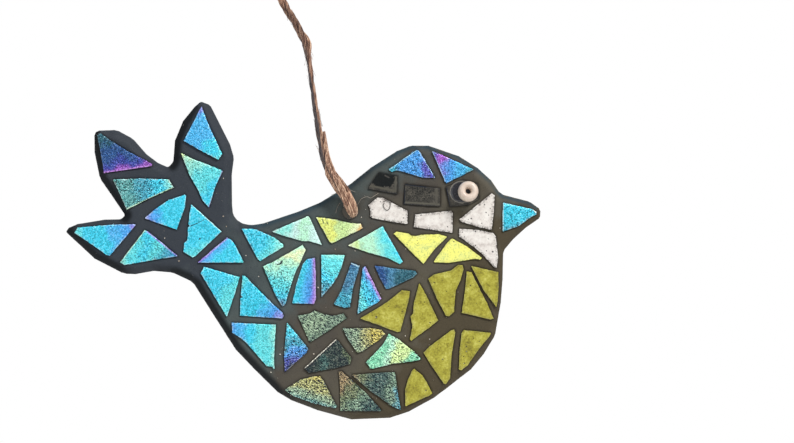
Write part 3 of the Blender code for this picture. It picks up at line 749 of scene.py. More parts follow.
def fibre_tree(name, plies, fibres, ply_radius, bundle_radius, fibre_radius, material, sided=True):
    """Geometry nodes that lay plies of fibres along a guide, twisted and spread as it says.

    Each fibre is marked with a shade of its own and, if sided, with how far aside it lies.
    """
    tree, values = node_group(name, (("Guide", "Geometry", None), ("Plies", "Int", plies),
                                     ("Fibres in a ply", "Int", fibres),
                                     ("Ply radius", "Float", ply_radius / METRE),
                                     ("Bundle radius", "Float", bundle_radius / METRE),
                                     ("Fibre radius", "Float", fibre_radius / METRE)))
    given = tree.add("NodeGroupInput").outputs
    per_ply = Number(tree, given["Fibres in a ply"])
    line = tree.first("GeometryNodeMeshToCurve", {0: given["Guide"]})
    amount = Number(tree, given["Plies"]) * per_ply
    copies = tree.add("GeometryNodeDuplicateElements", {"domain": 'SPLINE'},
                      {"Geometry": line, "Amount": amount})
    index = Number(tree, copies.outputs["Duplicate Index"])
    ply = (index / per_ply).rounded_down()
    fibre = index - ply * per_ply
    twist = Number(tree, tree.attribute("twist", 'FLOAT'))
    spread = Number(tree, tree.attribute("spread", 'FLOAT'))
    ply_angle = twist + ply * (2 * math.pi / plies)
    golden = math.pi * (3 - math.sqrt(5))
    fibre_angle = twist * FIBRE_TWIST + fibre * golden + ply * PLY_PHASE
    ply_reach = spread * Number(tree, given["Ply radius"])
    share = (fibre + 0.5) / per_ply
    fibre_reach = spread * Number(tree, given["Bundle radius"]) * share.root()
    sideways = ply_reach * ply_angle.cosine() + fibre_reach * fibre_angle.cosine()
    upwards = ply_reach * ply_angle.sine() + fibre_reach * fibre_angle.sine()
    offset = tree.vector('ADD', tree.scaled(tree.attribute("side", 'FLOAT_VECTOR'), sideways),
                         tree.scaled(tree.attribute("lift", 'FLOAT_VECTOR'), upwards))
    marked = tree.first("GeometryNodeSetPosition",
                        {"Geometry": copies.outputs[0], "Offset": offset})
    shade = tree.add("FunctionNodeRandomValue", {"data_type": 'FLOAT'}, {"ID": index, "Seed": 4})
    flank = sideways / (spread * ((ply_radius + bundle_radius) / METRE + 1e-9)) if sided else 1.0
    for label, value in (("shade", shade.outputs[1]), ("flank", flank)):
        marked = tree.first("GeometryNodeStoreNamedAttribute",
                            {"Geometry": marked, "Name": label, "Value": value},
                            {"data_type": 'FLOAT', "domain": 'POINT'})
    profile = tree.first("GeometryNodeCurvePrimitiveCircle",
                         {"Resolution": FIBRE_SIDES, "Radius": given["Fibre radius"]})
    tubes = tree.first("GeometryNodeCurveToMesh",
                       {"Curve": marked, "Profile Curve": profile,
                        "Scale": spread * THICKENING + (1.0 - THICKENING), "Fill Caps": True})
    tree.end(tree.first("GeometryNodeSetShadeSmooth", {0: tubes}), material)
    return tree, values


def grown(name, data, tree, values):
    """The plain mesh that a geometry node tree makes from a mesh."""
    seed = linked(name + "_guide", data)
    modifier = seed.modifiers.new(name, 'NODES')
    modifier.node_group = tree.nodes
    for identifier, value in values:
        modifier[identifier] = value
    depsgraph = bpy.context.evaluated_depsgraph_get()
    mesh = bpy.data.meshes.new_from_object(seed.evaluated_get(depsgraph))
    mesh.name = name
    bpy.data.objects.remove(seed)
    thing = linked(name, mesh)
    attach(thing, "root")
    return thing


def guide_mesh(name, guides):
    """Guides as one mesh of lines, in metres, with their directions as attributes."""
    data = bpy.data.meshes.new(name)
    rows = [row for lines in guides for row in lines]
    edges = []
    first = 0
    for lines in guides:
        edges.extend((first + i, first + i + 1) for i in range(len(lines) - 1))
        first += len(lines)
    data.from_pydata([place(*row[0]) for row in rows], edges, [])
    for label, column in (("side", 1), ("lift", 2)):
        layer = data.attributes.new(label, 'FLOAT_VECTOR', 'POINT')
        layer.data.foreach_set("vector", [value for row in rows for value in row[column]])
    for label, column in (("twist", 3), ("spread", 4)):
        layer = data.attributes.new(label, 'FLOAT', 'POINT')
        layer.data.foreach_set("value", [row[column] for row in rows])
    return data


def laid(name, guides, *tree_values):
    """The finished mesh of fibres that lie along guides."""
    return grown(name, guide_mesh(name + "_guide", guides), *fibre_tree(name, *tree_values))


def between(heights, z):
    """The value that a table of (height, value) gives at a height."""
    return float(np.interp(z, [row[0] for row in heights], [row[1] for row in heights]))


def untwisted(number):
    return 0.0


def even(number):
    return 1.0


# Loose fibres: how many there are, how many points of the route each end keeps free of them,
# how long they are, how far they stand off at their start and at most, how thick they are and
# how many points each has
LOOSE_COUNT = 130
LOOSE_CLEAR = 6
LOOSE_LENGTHS = (1.4, 4.2)
LOOSE_START = 0.8
LOOSE_REACH = 2.7
LOOSE_RADIUS = 0.045
LOOSE_POINTS = 6

# How much a loose fibre runs along the twine and how much it rises from it, as shares of its length
LOOSE_LEAN = (0.75, 1.0)
LOOSE_RISE = (0.2, 0.6)


def loose_hairs(route, draw):
    """Short fibres that have worked loose and bend away from the twine."""
    hairs = []
    for _ in range(LOOSE_COUNT):
        number = draw.randrange(LOOSE_CLEAR, len(route) - LOOSE_CLEAR)
        start = route[number]
        ahead = (route[number + 2] - start).normalized()
        away = Vector((draw.uniform(-1, 1), draw.uniform(-1, 1), draw.uniform(-1, 1)))
        away = (away - ahead * away.dot(ahead)).normalized()
        length = draw.uniform(*LOOSE_LENGTHS)
        lean = draw.choice((-1.0, 1.0)) * draw.uniform(*LOOSE_LEAN)
        rise = draw.uniform(*LOOSE_RISE)
        points = []
        for step in range(LOOSE_POINTS):
            part = step / (LOOSE_POINTS - 1)
            out = min(LOOSE_REACH, LOOSE_START + rise * length * 0.5 * part ** 1.6)
            points.append(start + away * out + ahead * (lean * length * part))
        hairs.append(guide(points, untwisted, even, away.orthogonal()))
    return hairs


# The plug, which lies a little behind the grout's face
PLUG_SUNK = 0.06
PLUG_FRONT = GROUT_FRONT + PLUG_SUNK
PLUG_BACK = 2.9
PLUG_RADIUS = 2.47
PLUG_SIDES = 48


def make_plug():
    """A plain plug that stands for the packed fibres in the hole, round the twine."""
    middle = Matrix.Translation(place(0.0, (PLUG_FRONT + PLUG_BACK) / 2, 0.0))
    shape = bmesh.new()
    bmesh.ops.create_cone(shape, cap_ends=True, segments=PLUG_SIDES, radius1=PLUG_RADIUS / METRE,
                          radius2=PLUG_RADIUS / METRE, depth=(PLUG_BACK - PLUG_FRONT) / METRE,
                          matrix=middle @ Matrix.Rotation(math.pi / 2, 4, 'X'))
    data = bpy.data.meshes.new("plug")
    shape.to_mesh(data)
    shape.free()
    return bpy.data.objects.new("plug", data)


def make_twine(jute):
    """The twine, with its laid strands, the plug in the hole, the frayed end and loose fibres."""
    route = smooth_route(TWINE_ROUTE, TWINE_STEP)
    top = max(range(len(route)), key=lambda number: route[number].z)

    def spread(number):
        table = FRONT_SPREAD if number < top else REAR_SPREAD
        return between(table, route[number].z)

    def turn(number):
        return 2 * math.pi / TWIST_LENGTH * between(KEPT_TWIST, route[number].z)

    twine = laid("jute_twine", [guide(route, turn, spread, SIDEWAYS)], PLIES, FIBRES, PLY_RADIUS,
                 BUNDLE_RADIUS, FIBRE_RADIUS, jute)
    strands = []
    for low, high, offset, tapered in LAID_STRANDS:
        near = [point for point in route[:top] if low < point.z < high and point.y < -1.0]
        ends = [min(point.z - low, high - point.z if tapered else high) for point in near]
        shares = [between(STRAND_TAPER, end) for end in ends]
        moved = [point + Vector(offset) * share for point, share in zip(near, shares)]
        strands.append(guide(moved, untwisted, shares.__getitem__, SIDEWAYS))
    strand = laid("laid_strand", strands, 1, STRAND_FIBRES, 0.0, STRAND_RADIUS, FIBRE_RADIUS, jute,
                  False)
    end = smooth_route(FRAYED_END, FRAYED_STEP)
    opened = [between(END_SPREAD, point.z) for point in end]
    frayed = laid("frayed_end", [guide(end, untwisted, opened.__getitem__, SIDEWAYS)], 1,
                  FRAYED_FIBRES, 0.0, FRAYED_RADIUS, FIBRE_RADIUS, jute, False)
    fuzz = laid("jute_fuzz", loose_hairs(route, random.Random(11)), 1, 1, 0.0, 0.0, LOOSE_RADIUS,
                jute)
    for added in (strand, make_plug(), frayed, fuzz):
        joined(twine, added)
    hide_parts("hanging_twine")
    return twine, route


# Shorter strands laid along the front of the twine: from and to what height, how far aside, and
# whether the top dies away into the twine as the bottom does
LAID_STRANDS = ((9.5, 25.3, (0.95, -0.6, 0.0), False), (3.0, 15.0, (-1.5, -0.5, 0.0), True),
                (1.4, 12.5, (0.2, -1.6, 0.2), True))
STRAND_FIBRES = 13
STRAND_RADIUS = 0.66

# How far a laid strand stands off and opens at a distance from its end
STRAND_TAPER = ((0.0, 0.25), (3.5, 1.0))

# The frayed end in front that turns down into the hole's lower right side
FRAYED_END = ((-1.6, -6.4, 5.6), (-0.7, -6.2, 3.8), (0.2, -5.6, 1.6), (0.7, -4.7, 0.1),
              (0.9, -3.7, -0.75), (0.85, -2.6, -0.95), (0.8, -1.2, -1.0))
END_SPREAD = ((-1.0, 1.25), (-0.6, 1.4), (0.3, 1.75), (2.2, 1.95), (5.6, 1.5))
FRAYED_STEP = 0.5
FRAYED_FIBRES = 64
FRAYED_RADIUS = 1.0

# Hairs that have fallen from the twine and lie on the face of the bird: x, y and z
FALLEN_HAIRS = (
    ((-3.1, -3.75, 2.5), (-3.7, -3.7, 1.8), (-4.2, -3.7, 0.6), (-4.5, -3.65, -0.6)),
    ((-6.0, -3.8, 5.0), (-5.2, -4.2, 5.3), (-4.4, -4.3, 5.6)),
    ((-0.6, -4.6, 6.9), (0.6, -3.9, 6.4), (1.7, -3.7, 6.0)),
    ((2.3, -3.8, 1.8), (3.1, -3.9, 3.2), (4.0, -4.0, 4.1), (5.4, -4.0, 4.5), (6.6, -4.15, 4.1),
     (7.7, -4.15, 4.8), (9.0, -3.9, 5.6)),
    ((10.5, -4.12, 2.9), (11.4, -4.14, 3.3), (12.4, -4.12, 2.9), (12.7, -4.12, 1.8),
     (12.3, -4.12, 0.6), (11.6, -4.12, 0.2), (10.8, -4.12, 0.9), (10.5, -4.13, 2.0),
     (10.9, -4.14, 2.6)),
)
FALLEN_STEP = 0.3
FALLEN_RADIUS = 0.06

# The ring of hair that lies on white glass starts past this x, and is thicker by its spread
RING_FROM = 10.0
RING_SPREAD = 3.0


def make_fallen_hairs(material):
    lines = []
    for hair in FALLEN_HAIRS:
        points = smooth_route(hair, FALLEN_STEP)
        thick = RING_SPREAD if points[0].x > RING_FROM else 1.0
        lines.append(guide(points, untwisted, lambda number: thick, (0.0, -1.0, 0.0)))
    hairs = laid("fallen_fibres", lines, 1, 1, 0.0, 0.0, FALLEN_RADIUS, material)


def joined(kept, added):
    """Puts the mesh of one object into another and removes the first."""
    shape = bmesh.new()
    shape.from_mesh(kept.data)
    shape.from_mesh(added.data)
    shape.to_mesh(kept.data)
    shape.free()
    bpy.data.objects.remove(added)


# The knot: its turns, how far out they lie and over how much of the strand they run, its two tails
# and the fibres that it is made of
KNOT_TURNS = 2.25
KNOT_REACH = 2.35
KNOT_PITCH = 1.7
TAIL_DIRECTIONS = ((-0.62, 0.72, -0.25), (0.55, 0.8, -0.2))
TAIL_LENGTH = 9.2
TAIL_POINTS = 12
TURN_POINTS = 72
KNOT_STEP = 0.55
KNOT_TWIST = 0.32
KNOT_PLIES = 2
KNOT_FIBRES = 11
KNOT_PLY_RADIUS = 0.38
KNOT_BUNDLE_RADIUS = 0.46

# The knot's turns sit this far within its reach at their ends, and bulge as far in the middle
KNOT_BULGE = 0.25

# The cut tails fray: by how much they open at their ends, and over how many points
FRAY_OPENING = 1.1
FRAY_POINTS = 7


def make_knot(jute):
    """Turns of twine drawn tight round the rear strand, with two frayed tails."""
    centre = Vector(TWINE_ROUTE[KNOT_ROUTE_POINT])
    ahead = Vector(TWINE_ROUTE[KNOT_ROUTE_POINT + 1])
    behind = Vector(TWINE_ROUTE[KNOT_ROUTE_POINT - 1])
    axis = (ahead - behind).normalized()
    tails = [Vector(direction).normalized() for direction in TAIL_DIRECTIONS]
    outwards = [(tail - axis * tail.dot(axis)).normalized() for tail in tails]
    side = outwards[0]
    lift = axis.cross(side)
    last = math.atan2(outwards[1].dot(lift), outwards[1].dot(side))
    sweep = 2 * math.pi * KNOT_TURNS
    sweep += (last - sweep) % (2 * math.pi)
    points = []
    for step in range(TAIL_POINTS, 0, -1):
        points.append(centre + outwards[0] * KNOT_REACH - axis * KNOT_PITCH
                      + tails[0] * (TAIL_LENGTH * step / TAIL_POINTS))
    for step in range(TURN_POINTS + 1):
        part = step / TURN_POINTS
        angle = sweep * part
        out = side * math.cos(angle) + lift * math.sin(angle)
        bulge = KNOT_BULGE * math.sin(math.pi * part)
        points.append(centre + out * (KNOT_REACH - KNOT_BULGE + bulge)
                      + axis * (KNOT_PITCH * (2 * part - 1)))
    for step in range(1, TAIL_POINTS + 1):
        points.append(centre + outwards[1] * KNOT_REACH + axis * KNOT_PITCH
                      + tails[1] * (TAIL_LENGTH * step / TAIL_POINTS))
    route = smooth_route(points, KNOT_STEP)

    def spread(number):
        from_end = min(number, len(route) - 1 - number) / FRAY_POINTS
        return 1.0 + FRAY_OPENING * max(0.0, 1.0 - from_end)

    knot = laid("jute_knot", [guide(route, lambda number: KNOT_TWIST, spread, axis)], KNOT_PLIES,
                KNOT_FIBRES, KNOT_PLY_RADIUS, KNOT_BUNDLE_RADIUS, FIBRE_RADIUS, jute)
    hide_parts("twine_knot")
    return knot


def jute_finish():
    """Brown jute: a tint for each fibre, streaks along it, painted shade on its left side and in the
    mouth of the hole, and a darker band at the bend.
    """
    made = Finish("jute")
    drawn = made.vector('MULTIPLY', made.spot, (1.0, 1.0, 0.14))
    streak = made.grain(1.5, 2.0, at=drawn)
    fleck = made.grain(4.0, 2.0)
    tone = (streak - 0.5) * 2.2 + (made.mark("shade") - 0.5) * 0.5 + (fleck - 0.5) * 0.3 + 0.56
    stops = ((0.0, (54, 37, 33)), (0.3, (100, 70, 57)), (0.6, (153, 115, 94)),
             (1.0, (212, 178, 150)))
    height = made.along((0.0, 0.0, 1.0))
    made.ground(tone + height.clear_of(26.0, 12.0) * 0.1, stops)
    # A darker band over the bend of the twine, 54 to 66 mm up
    darker_bend = height.clear_of(54.0, 58.0) * height.clear_of(66.0, 62.0)
    made.over((66, 50, 44), darker_bend * 0.45)
    # Painted shade down the left side of the twine, from about 4 to 62 mm up, lighter between about
    # 22 and 46 mm
    eased_shade = height.clear_of(22.0, 28.0) * height.clear_of(46.0, 38.0)
    side = (made.mark("flank") - eased_shade * 0.3).clear_of(0.15, -0.35) * height.clear_of(4.0, 12.0)
    made.over((54, 58, 66), side * height.clear_of(62.0, 46.0) * 0.85)
    # Painted shade, a grout-like grey, on the plug and the fibres in the mouth of the hole
    depth = made.along((0.0, 1.0, 0.0))
    hole_shade = depth.clear_of(-3.9, -3.4) * depth.clear_of(-1.0, -2.0) * height.clear_of(3.2, 2.6)
    made.over((78, 76, 70), hole_shade * 0.95)
    return made.bumped(fleck, 0.05, 0.5, Roughness=0.82, Sheen_Weight=0.2, Specular_IOR_Level=0.25)


def hair_finish():
    """A single fibre, pale over the grout and dark where a ring of it lies on white glass."""
    made = Finish("fallen_fibre")
    ring = made.along((1.0, 0.0, 0.0)).clear_of(RING_FROM - 0.5, RING_FROM)
    made.paint = lit((150, 140, 128))
    made.over((50, 42, 38), ring)
    return made.finished(Roughness=0.6)


# The way that the ripples in the glass run across its face, in degrees from +x
RIPPLE_HEADING = -25


def heading_of(degrees):
    return Vector((math.cos(math.radians(degrees)), 0.0, math.sin(math.radians(degrees))))


def lustre_finish(name, loop):
    """Iridescent glass: colours that run across the piece, dark grain painted as shade in the hollows
    of its relief, painted highlights on its crests, and a cut rim painted bright, partly paler raw
    glass and partly painted highlight.
    """
    heading, colours, (grain_start, grain_end), rippled = LUSTRE[name]
    made = Finish(name + "_lustre")
    run = heading_of(heading)
    reach = [run.dot(Vector((point[0], 0.0, point[1]))) for point in loop]
    low, high = min(reach), max(reach)
    patch = made.grain(0.24, 2.0)
    part = (made.along(run) - low) / (high - low) + (patch - 0.5) * 0.55
    light = min(1.0, sum(lit(shade)[1] for shade in colours) / len(colours) / 0.5)
    last = len(colours) - 1
    made.ground(part, [(number / last, shade) for number, shade in enumerate(colours)], 'EASE')
    made.strokes(name)
    pebble = (made.grain(2.2, 3.0, 0.7) - 0.5) * 1.3 + 0.5
    across = made.along(heading_of(RIPPLE_HEADING)) * 0.75
    upwards = made.along(heading_of(RIPPLE_HEADING + 90)) * 1.9
    drawn = made.first("ShaderNodeCombineXYZ", {0: across, 1: upwards})
    ripples = (made.grain(1.9, 3.0, 0.6, 0.9, drawn) - 0.5) * 3.2 + 0.5
    relief = pebble * (1.0 - 0.8 * rippled) + ripples * (0.8 * rippled)
    weight = part * (grain_end - grain_start) + grain_start
    # Painted shade in the hollows of the relief, as heavy as the table's weight
    dark = relief.clear_of(0.52 + 0.04 * rippled, 0.36 + 0.05 * rippled)
    dark = (dark * weight).most(0.0).least(1.25)
    made.over(NIGHT, dark * (0.72 + 0.2 * rippled))
    # Painted highlights on the crests of the relief, fainter on dark glass
    gleam = relief.clear_of(0.55, 0.72) * (weight * (0.18 - 0.1 * rippled) + 0.12)
    gleam = gleam * (0.4 + 0.6 * light)
    made.over(FROST if rippled < 0.5 else IVORY, gleam)
    # The cut rim painted pale: partly the paler raw glass of the cut, partly painted highlight
    made.over(FROST, made.mark("rim") * (0.4 - 0.3 * rippled) * light)
    made.over(NIGHT, made.mark("pit"))
    return made.bumped(relief, 0.2, 0.9, Metallic=0.72, Roughness=0.34, Coat_Weight=0.25,
                       Coat_Roughness=0.15)


# Fine cracks, scratches, bands of colour, dark lines, and pale lines along cut edges that are painted
# highlights, with one painted glint on mask_tile_1: start, end, half width and colour
STROKES = {
    "tail_tile_1": (((-77.9, 12.1), (-62.8, 14.4), 0.4, ORCHID),),
    "tail_tile_2": (((-70.6, 0.6), (-55.8, 7.5), 0.34, (186, 226, 186)),
                    ((-55.9, 7.4), (-57.4, 9.9), 0.4, (170, 216, 200)),
                    ((-70.7, 0.6), (-74.9, 9.8), 0.25, (140, 196, 176))),
    "tail_tile_4": (((-40.3, 12.5), (-44.5, 1.3), 0.4, LILAC),),
    "tail_tile_6": (((-72.6, -16.1), (-64.9, -6.1), 0.3, MINT),
                    ((-64.0, -6.6), (-54.6, -14.2), 0.35, LILAC)),
    # The pale line is a painted highlight on the cut edge
    "tail_tile_8": (((-50.5, -4.8), (-48.3, -3.9), 0.2, NIGHT),
                    ((-48.3, -3.9), (-45.5, -2.5), 0.12, TEAL),
                    ((-50.1, 2.1), (-40.7, -6.5), 0.25, (170, 236, 240))),
    "flank_tile_1": (((-48.0, -16.2), (-39.0, -8.5), 0.75, (160, 134, 226)),),
    "flank_tile_6": (((-13.9, -45.0), (-20.6, -51.0), 0.12, (205, 205, 200)),),
    # The pale line is a painted highlight on the cut edge
    "belly_tile_3": (((-14.4, -49.5), (-4.6, -40.7), 0.42, (248, 244, 226)),
                     ((-13.6, -49.6), (-5.2, -41.8), 0.3, (20, 24, 24))),
    # The pale line is a painted highlight on the cut edge
    "wing_tile_1": (((-23.7, -16.7), (-22.0, -15.9), 0.3, PEARL),
                    ((-23.0, -17.0), (-21.9, -16.6), 0.3, NIGHT),
                    ((-22.1, -16.7), (-21.5, -15.9), 0.42, NIGHT)),
    "wing_tile_4": (((0.4, -16.6), (3.0, -17.6), 0.24, (176, 212, 224)),),
    "back_tile_2": (((-8.9, -2.6), (-8.2, -4.0), 0.16, PINE),
                    ((-7.4, -3.4), (-6.9, -4.2), 0.14, PINE)),
    # mask_tile_1: the second line is a painted glint
    "mask_tile_1": (((5.4, 6.7), (15.0, 5.1), 0.5, NIGHT),
                    ((11.1, 11.2), (12.3, 10.6), 0.34, (62, 60, 56)),
                    ((6.2, 8.0), (14.2, 6.4), 0.5, (76, 73, 64)),
                    ((14.5, 10.6), (14.3, 6.2), 0.45, (74, 72, 64))),
    "mask_tile_2": (((17.4, 8.45), (24.2, 7.6), 0.36, NIGHT),
                    ((24.2, 7.6), (28.5, 7.1), 0.2, (44, 42, 42)),
                    ((17.25, 7.2), (17.1, 2.5), 0.3, NIGHT),
                    ((17.1, 2.1), (28.4, 1.3), 0.2, NIGHT),
                    ((17.6, 2.75), (28.2, 2.1), 0.4, (82, 79, 70)),
                    ((27.4, 7.0), (27.3, 2.4), 0.7, (76, 73, 65))),
    "mask_tile_3": (((30.5, 7.2), (31.5, 1.5), 0.26, NIGHT),
                    ((31.6, 1.4), (37.2, 1.9), 0.16, (44, 42, 40))),
    "beak_tile": (((48.4, 2.4), (48.35, -6.3), 0.26, (170, 228, 236)),
                  ((57.9, 0.5), (58.8, -0.5), 0.3, (206, 226, 226))),
    "cap_tile_1": (((12.4, 13.1), (21.1, 19.2), 0.16, (160, 216, 236)),
                   ((21.9, 18.8), (26.8, 10.6), 0.18, (160, 200, 240))),
    "cap_tile_2": (((26.1, 18.8), (30.2, 9.4), 0.16, (160, 196, 240)),),
    "wing_tile_2": (((-11.1, -15.4), (-10.8, -28.0), 1.5, (172, 132, 214)),),
    "wing_tile_5": (((5.4, -18.3), (9.8, -27.6), 1.1, (186, 132, 212)),),
}


def olive_finish(name, loop):
    made = Finish(name + "_olive")
    cloud = made.grain(0.35, 4.0, 0.6)
    mottle = made.grain(1.6, 3.0, 0.6)
    made.ground(cloud * 0.55 + mottle * 0.45,
                ((0.34, (104, 96, 20)), (0.45, (144, 137, 36)),
                 (0.54, (162, 156, 52)), (0.68, (190, 186, 92))))
    freckle = made.grain(3.0, 1.0)
    made.over((92, 84, 24), freckle.clear_of(0.38, 0.28) * 0.6)
    # Painted shade towards the edges of the glass
    made.over((84, 76, 22), made.mark("edge") * 0.5)
    # The cut rim painted pale: partly the paler raw glass of the cut, partly painted highlight
    made.over((190, 186, 110), made.mark("rim") * 0.25)
    made.over((44, 40, 18), made.mark("pit"))
    return made.bumped(mottle, 0.08, 0.7, Roughness=0.30, Coat_Weight=0.3, Coat_Roughness=0.12)


def white_finish(name, loop):
    made = Finish(name + "_white")
    cloud = made.grain(0.5, 4.0, 0.65)
    fleck = made.grain(2.6, 2.0, 0.7)
    made.ground(cloud, ((0.32, (184, 175, 168)), (0.46, (208, 201, 194)), (0.62, (220, 215, 208))))
    made.over((110, 102, 98), fleck.clear_of(0.62, 0.74) * 0.7)
    nicked = made.mark("edge") * (fleck.clear_of(0.42, 0.60) * 1.1 + 0.3)
    made.over((70, 63, 58), nicked.least(0.9))
    made.over((26, 23, 22), made.mark("pit"))
    return made.bumped(fleck, 0.06, 0.6, Roughness=0.36)


def yellow_finish(name, loop):
    made = Finish(name + "_yellow")
    cloud = made.grain(0.3, 3.0, 0.55)
    pebble = made.grain(1.9, 2.0, 0.6)
    made.ground(cloud * 0.7 + pebble * 0.3,
                ((0.34, (206, 216, 134)), (0.46, (230, 230, 128)),
                 (0.58, (238, 234, 118)), (0.72, (232, 234, 158))))
    # Painted shade in the hollows of the pebbled relief
    made.over((158, 172, 88), pebble.clear_of(0.46, 0.34) * 0.5)
    made.over((120, 124, 60), made.mark("edge") * 0.4)
    made.over((70, 70, 36), made.mark("pit"))
    return made.bumped(pebble, 0.12, 0.7, Roughness=0.32, Metallic=0.15)


# Bare spots of black glass under the haze of grout: the centre, and half the width and height.
# A half wiped one keeps some stipple of the haze.
BARE_SPOTS = {
    "mask_tile_1": ((10.4, 9.8), (4.3, 2.6)),
    "mask_tile_2": ((21.4, 5.7), (4.6, 2.3)),
}
HALF_WIPED = ("mask_tile_2",)


def black_finish(name, loop):
    """Black glass under a haze of dried grout, with a spot wiped bare."""
    made = Finish(name + "_black")
    haze = made.grain(0.5, 4.0, 0.6)
    stipple = made.grain(2.6, 3.0, 0.7)
    made.ground(haze * 0.5 + stipple * 0.5,
                ((0.38, (34, 32, 30)), (0.50, (56, 54, 49)), (0.60, (82, 78, 70))))
    if name in BARE_SPOTS:
        away = made.out_of_oval(*BARE_SPOTS[name])
        away = away + (haze - 0.5) * 1.2 + (stipple - 0.5) * 0.9
        bare = away.clear_of(1.0, 0.85)
        if name in HALF_WIPED:
            bare = bare * stipple.clear_of(0.5, 0.4) * 0.8
        made.over((5, 10, 10), bare)
    made.over((20, 20, 20), made.mark("edge") * 0.15)
    made.strokes(name)
    return made.bumped(stipple, 0.12, 0.8, Roughness=0.38, Specular_IOR_Level=0.25)


def glass_kind(name):
    """The finish, a name for its kind of glass and the relief of a piece of glass."""
    if name in LUSTRE:
        slot = "iridescent_glass"
        if name.startswith("back_tile"):
            slot = "pale_iridescent_glass"
        if name.startswith("belly_tile"):
            slot = "green_iridescent_glass"
        return lustre_finish, slot, 0.035
    kinds = {"breast": (olive_finish, "olive_glass", 0.015),
             "cheek": (white_finish, "white_glass", 0.015),
             "throat": (yellow_finish, "yellow_glass", 0.025),
             "mask": (black_finish, "black_glass", 0.025)}
    return kinds[name.split("_")[0]]


# A piece's broken rim, the width of its paler or darker edge, and its pits, which the other points
# of the mesh keep clear of by this share of their radius
RIM_WIDTH = 0.26
RIM_DROP = 0.09
EDGE_WIDTH = 1.1
PIT_DEPTH = 0.28
PIT_CLEAR = 1.7

# How far a piece may slope and stand out, and the height and fineness of its slow swell
GLASS_LEAN = 0.012
GLASS_RISE = (-0.05, 0.10)
SWELL = 0.05
SWELL_WAVES = 0.16
PEBBLE_WAVES = 1.5

# An edge is sharp where its faces meet at more than this, in degrees
GLASS_SHARP = 50
GROUT_SHARP = 60
GLUE_SHARP = 60

# Rings of points round a pit: how far out each lies, as a share of the radius, and its points
PIT_RINGS = ((0.5, 5), (0.95, 8), (1.45, 9))


def pit_points(pits):
    """Rings of points in and round each pit, so that the mesh can follow its bowl."""
    points = []
    for x, z, radius in pits:
        points.append((x, z))
        for reach, count in PIT_RINGS:
            for number in range(count):
                angle = 2 * math.pi * (number + reach) / count
                points.append((x + radius * reach * math.cos(angle),
                               z + radius * reach * math.sin(angle)))
    return points


def pit_share(point, pits):
    """1 in the middle of a pit and 0 outside it."""
    share = 0.0
    for x, z, radius in pits:
        away = math.hypot(point[0] - x, point[1] - z) / radius
        share = max(share, 1.0 - away ** 2)
    return max(0.0, share)


def make_glass(name, loop, edge, seed):
    """One piece of glass: a pebbled top with pits, a broken rim, plain sides and a flat back."""
    finish, slot, pebbles = glass_kind(name)
    draw = random.Random(seed)
    pits = list(PITS.get(name, ()))
    spots = lattice(edge, GLASS_STEP, seed)
    spots = spots[inside(spots, edge)]
    spots = spots[gaps(spots, [edge]) > RIM_WIDTH]
    if pits:
        clear = [all(math.hypot(x - px, z - pz) > PIT_CLEAR * radius for px, pz, radius in pits)
                 for x, z in spots]
        spots = spots[np.array(clear)]
        spots = np.concatenate([spots, pit_points(pits)])
    points, faces = triangulated([edge], spots)
    reach = gaps(points, [edge])
    centre = sum(loop, Vector((0.0, 0.0))) / len(loop)
    lean = Vector([draw.uniform(-GLASS_LEAN, GLASS_LEAN) for _ in range(2)])
    rise = draw.uniform(*GLASS_RISE)
    heights, rims, edges, bowls = [], [], [], []
    for point, gap in zip(points, reach):
        x, z = point
        bowl = pit_share(point, pits)
        swell = SWELL * ripple(x, z, SWELL_WAVES, seed)
        swell += pebbles * ripple(x, z, PEBBLE_WAVES, seed + 3)
        rim = max(0.0, 1.0 - gap / RIM_WIDTH)
        drop = RIM_DROP * rim ** 2
        heights.append(TILE_FRONT - rise + lean.dot(Vector(point) - centre) + swell + drop
                       + PIT_DEPTH * bowl)
        rims.append(rim)
        edges.append(max(0.0, 1.0 - gap / EDGE_WIDTH) ** 2)
        bowls.append(min(1.0, 1.6 * bowl))
    body = Body("rim", "edge", "pit")
    body.sheet(points, faces, heights, rim=rims, edge=edges, pit=bowls)
    rim_heights = [heights[i] for i in range(len(edge))]
    body.wall(edge, rim_heights, [TILE_BACK] * len(edge))
    body.flat([edge], TILE_BACK)
    glass = body.finished("glass_" + name, finish(name, loop), GLASS_SHARP)
    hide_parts(name)


# The grout slopes off over a margin, and the painted shade and painted sheen there reach in a little
# further
MARGIN = 2.7
MARGIN_DROP = 2.1
SHADED_MARGIN = 3.4
TAIL_FROM = -50.0
TAIL_SHADE = 0.45
SHEEN_FROM = -32.0
SHEEN_LEFT = 0.4

# It sinks beside the glass and at the mouth of the hole, and painted shade darkens it beside the
# glass
GROOVE_DEPTH = 0.2
GROOVE_WIDTH = 0.3
GROOVE_SHADE_WIDTH = 0.45
MOUTH_DEPTH = 0.2
MOUTH_WIDTH = 0.8

# Its lumps: how high, how fine and the seed of each kind
LUMPS = ((0.10, 0.22, 1), (0.045, 0.9, 5), (0.02, 2.3, 9))

# Its outline is set in and wavers by these, and other points of its mesh keep this clear of the
# outline and of the glass. Its pockets are a little deeper than the glass is thick.
OUTLINE_SET_IN = 0.02
OUTLINE_WAVER = 0.03
OUTLINE_CLEAR = 0.22
GLASS_CLEAR = 0.2
POCKET_GAP = 0.05


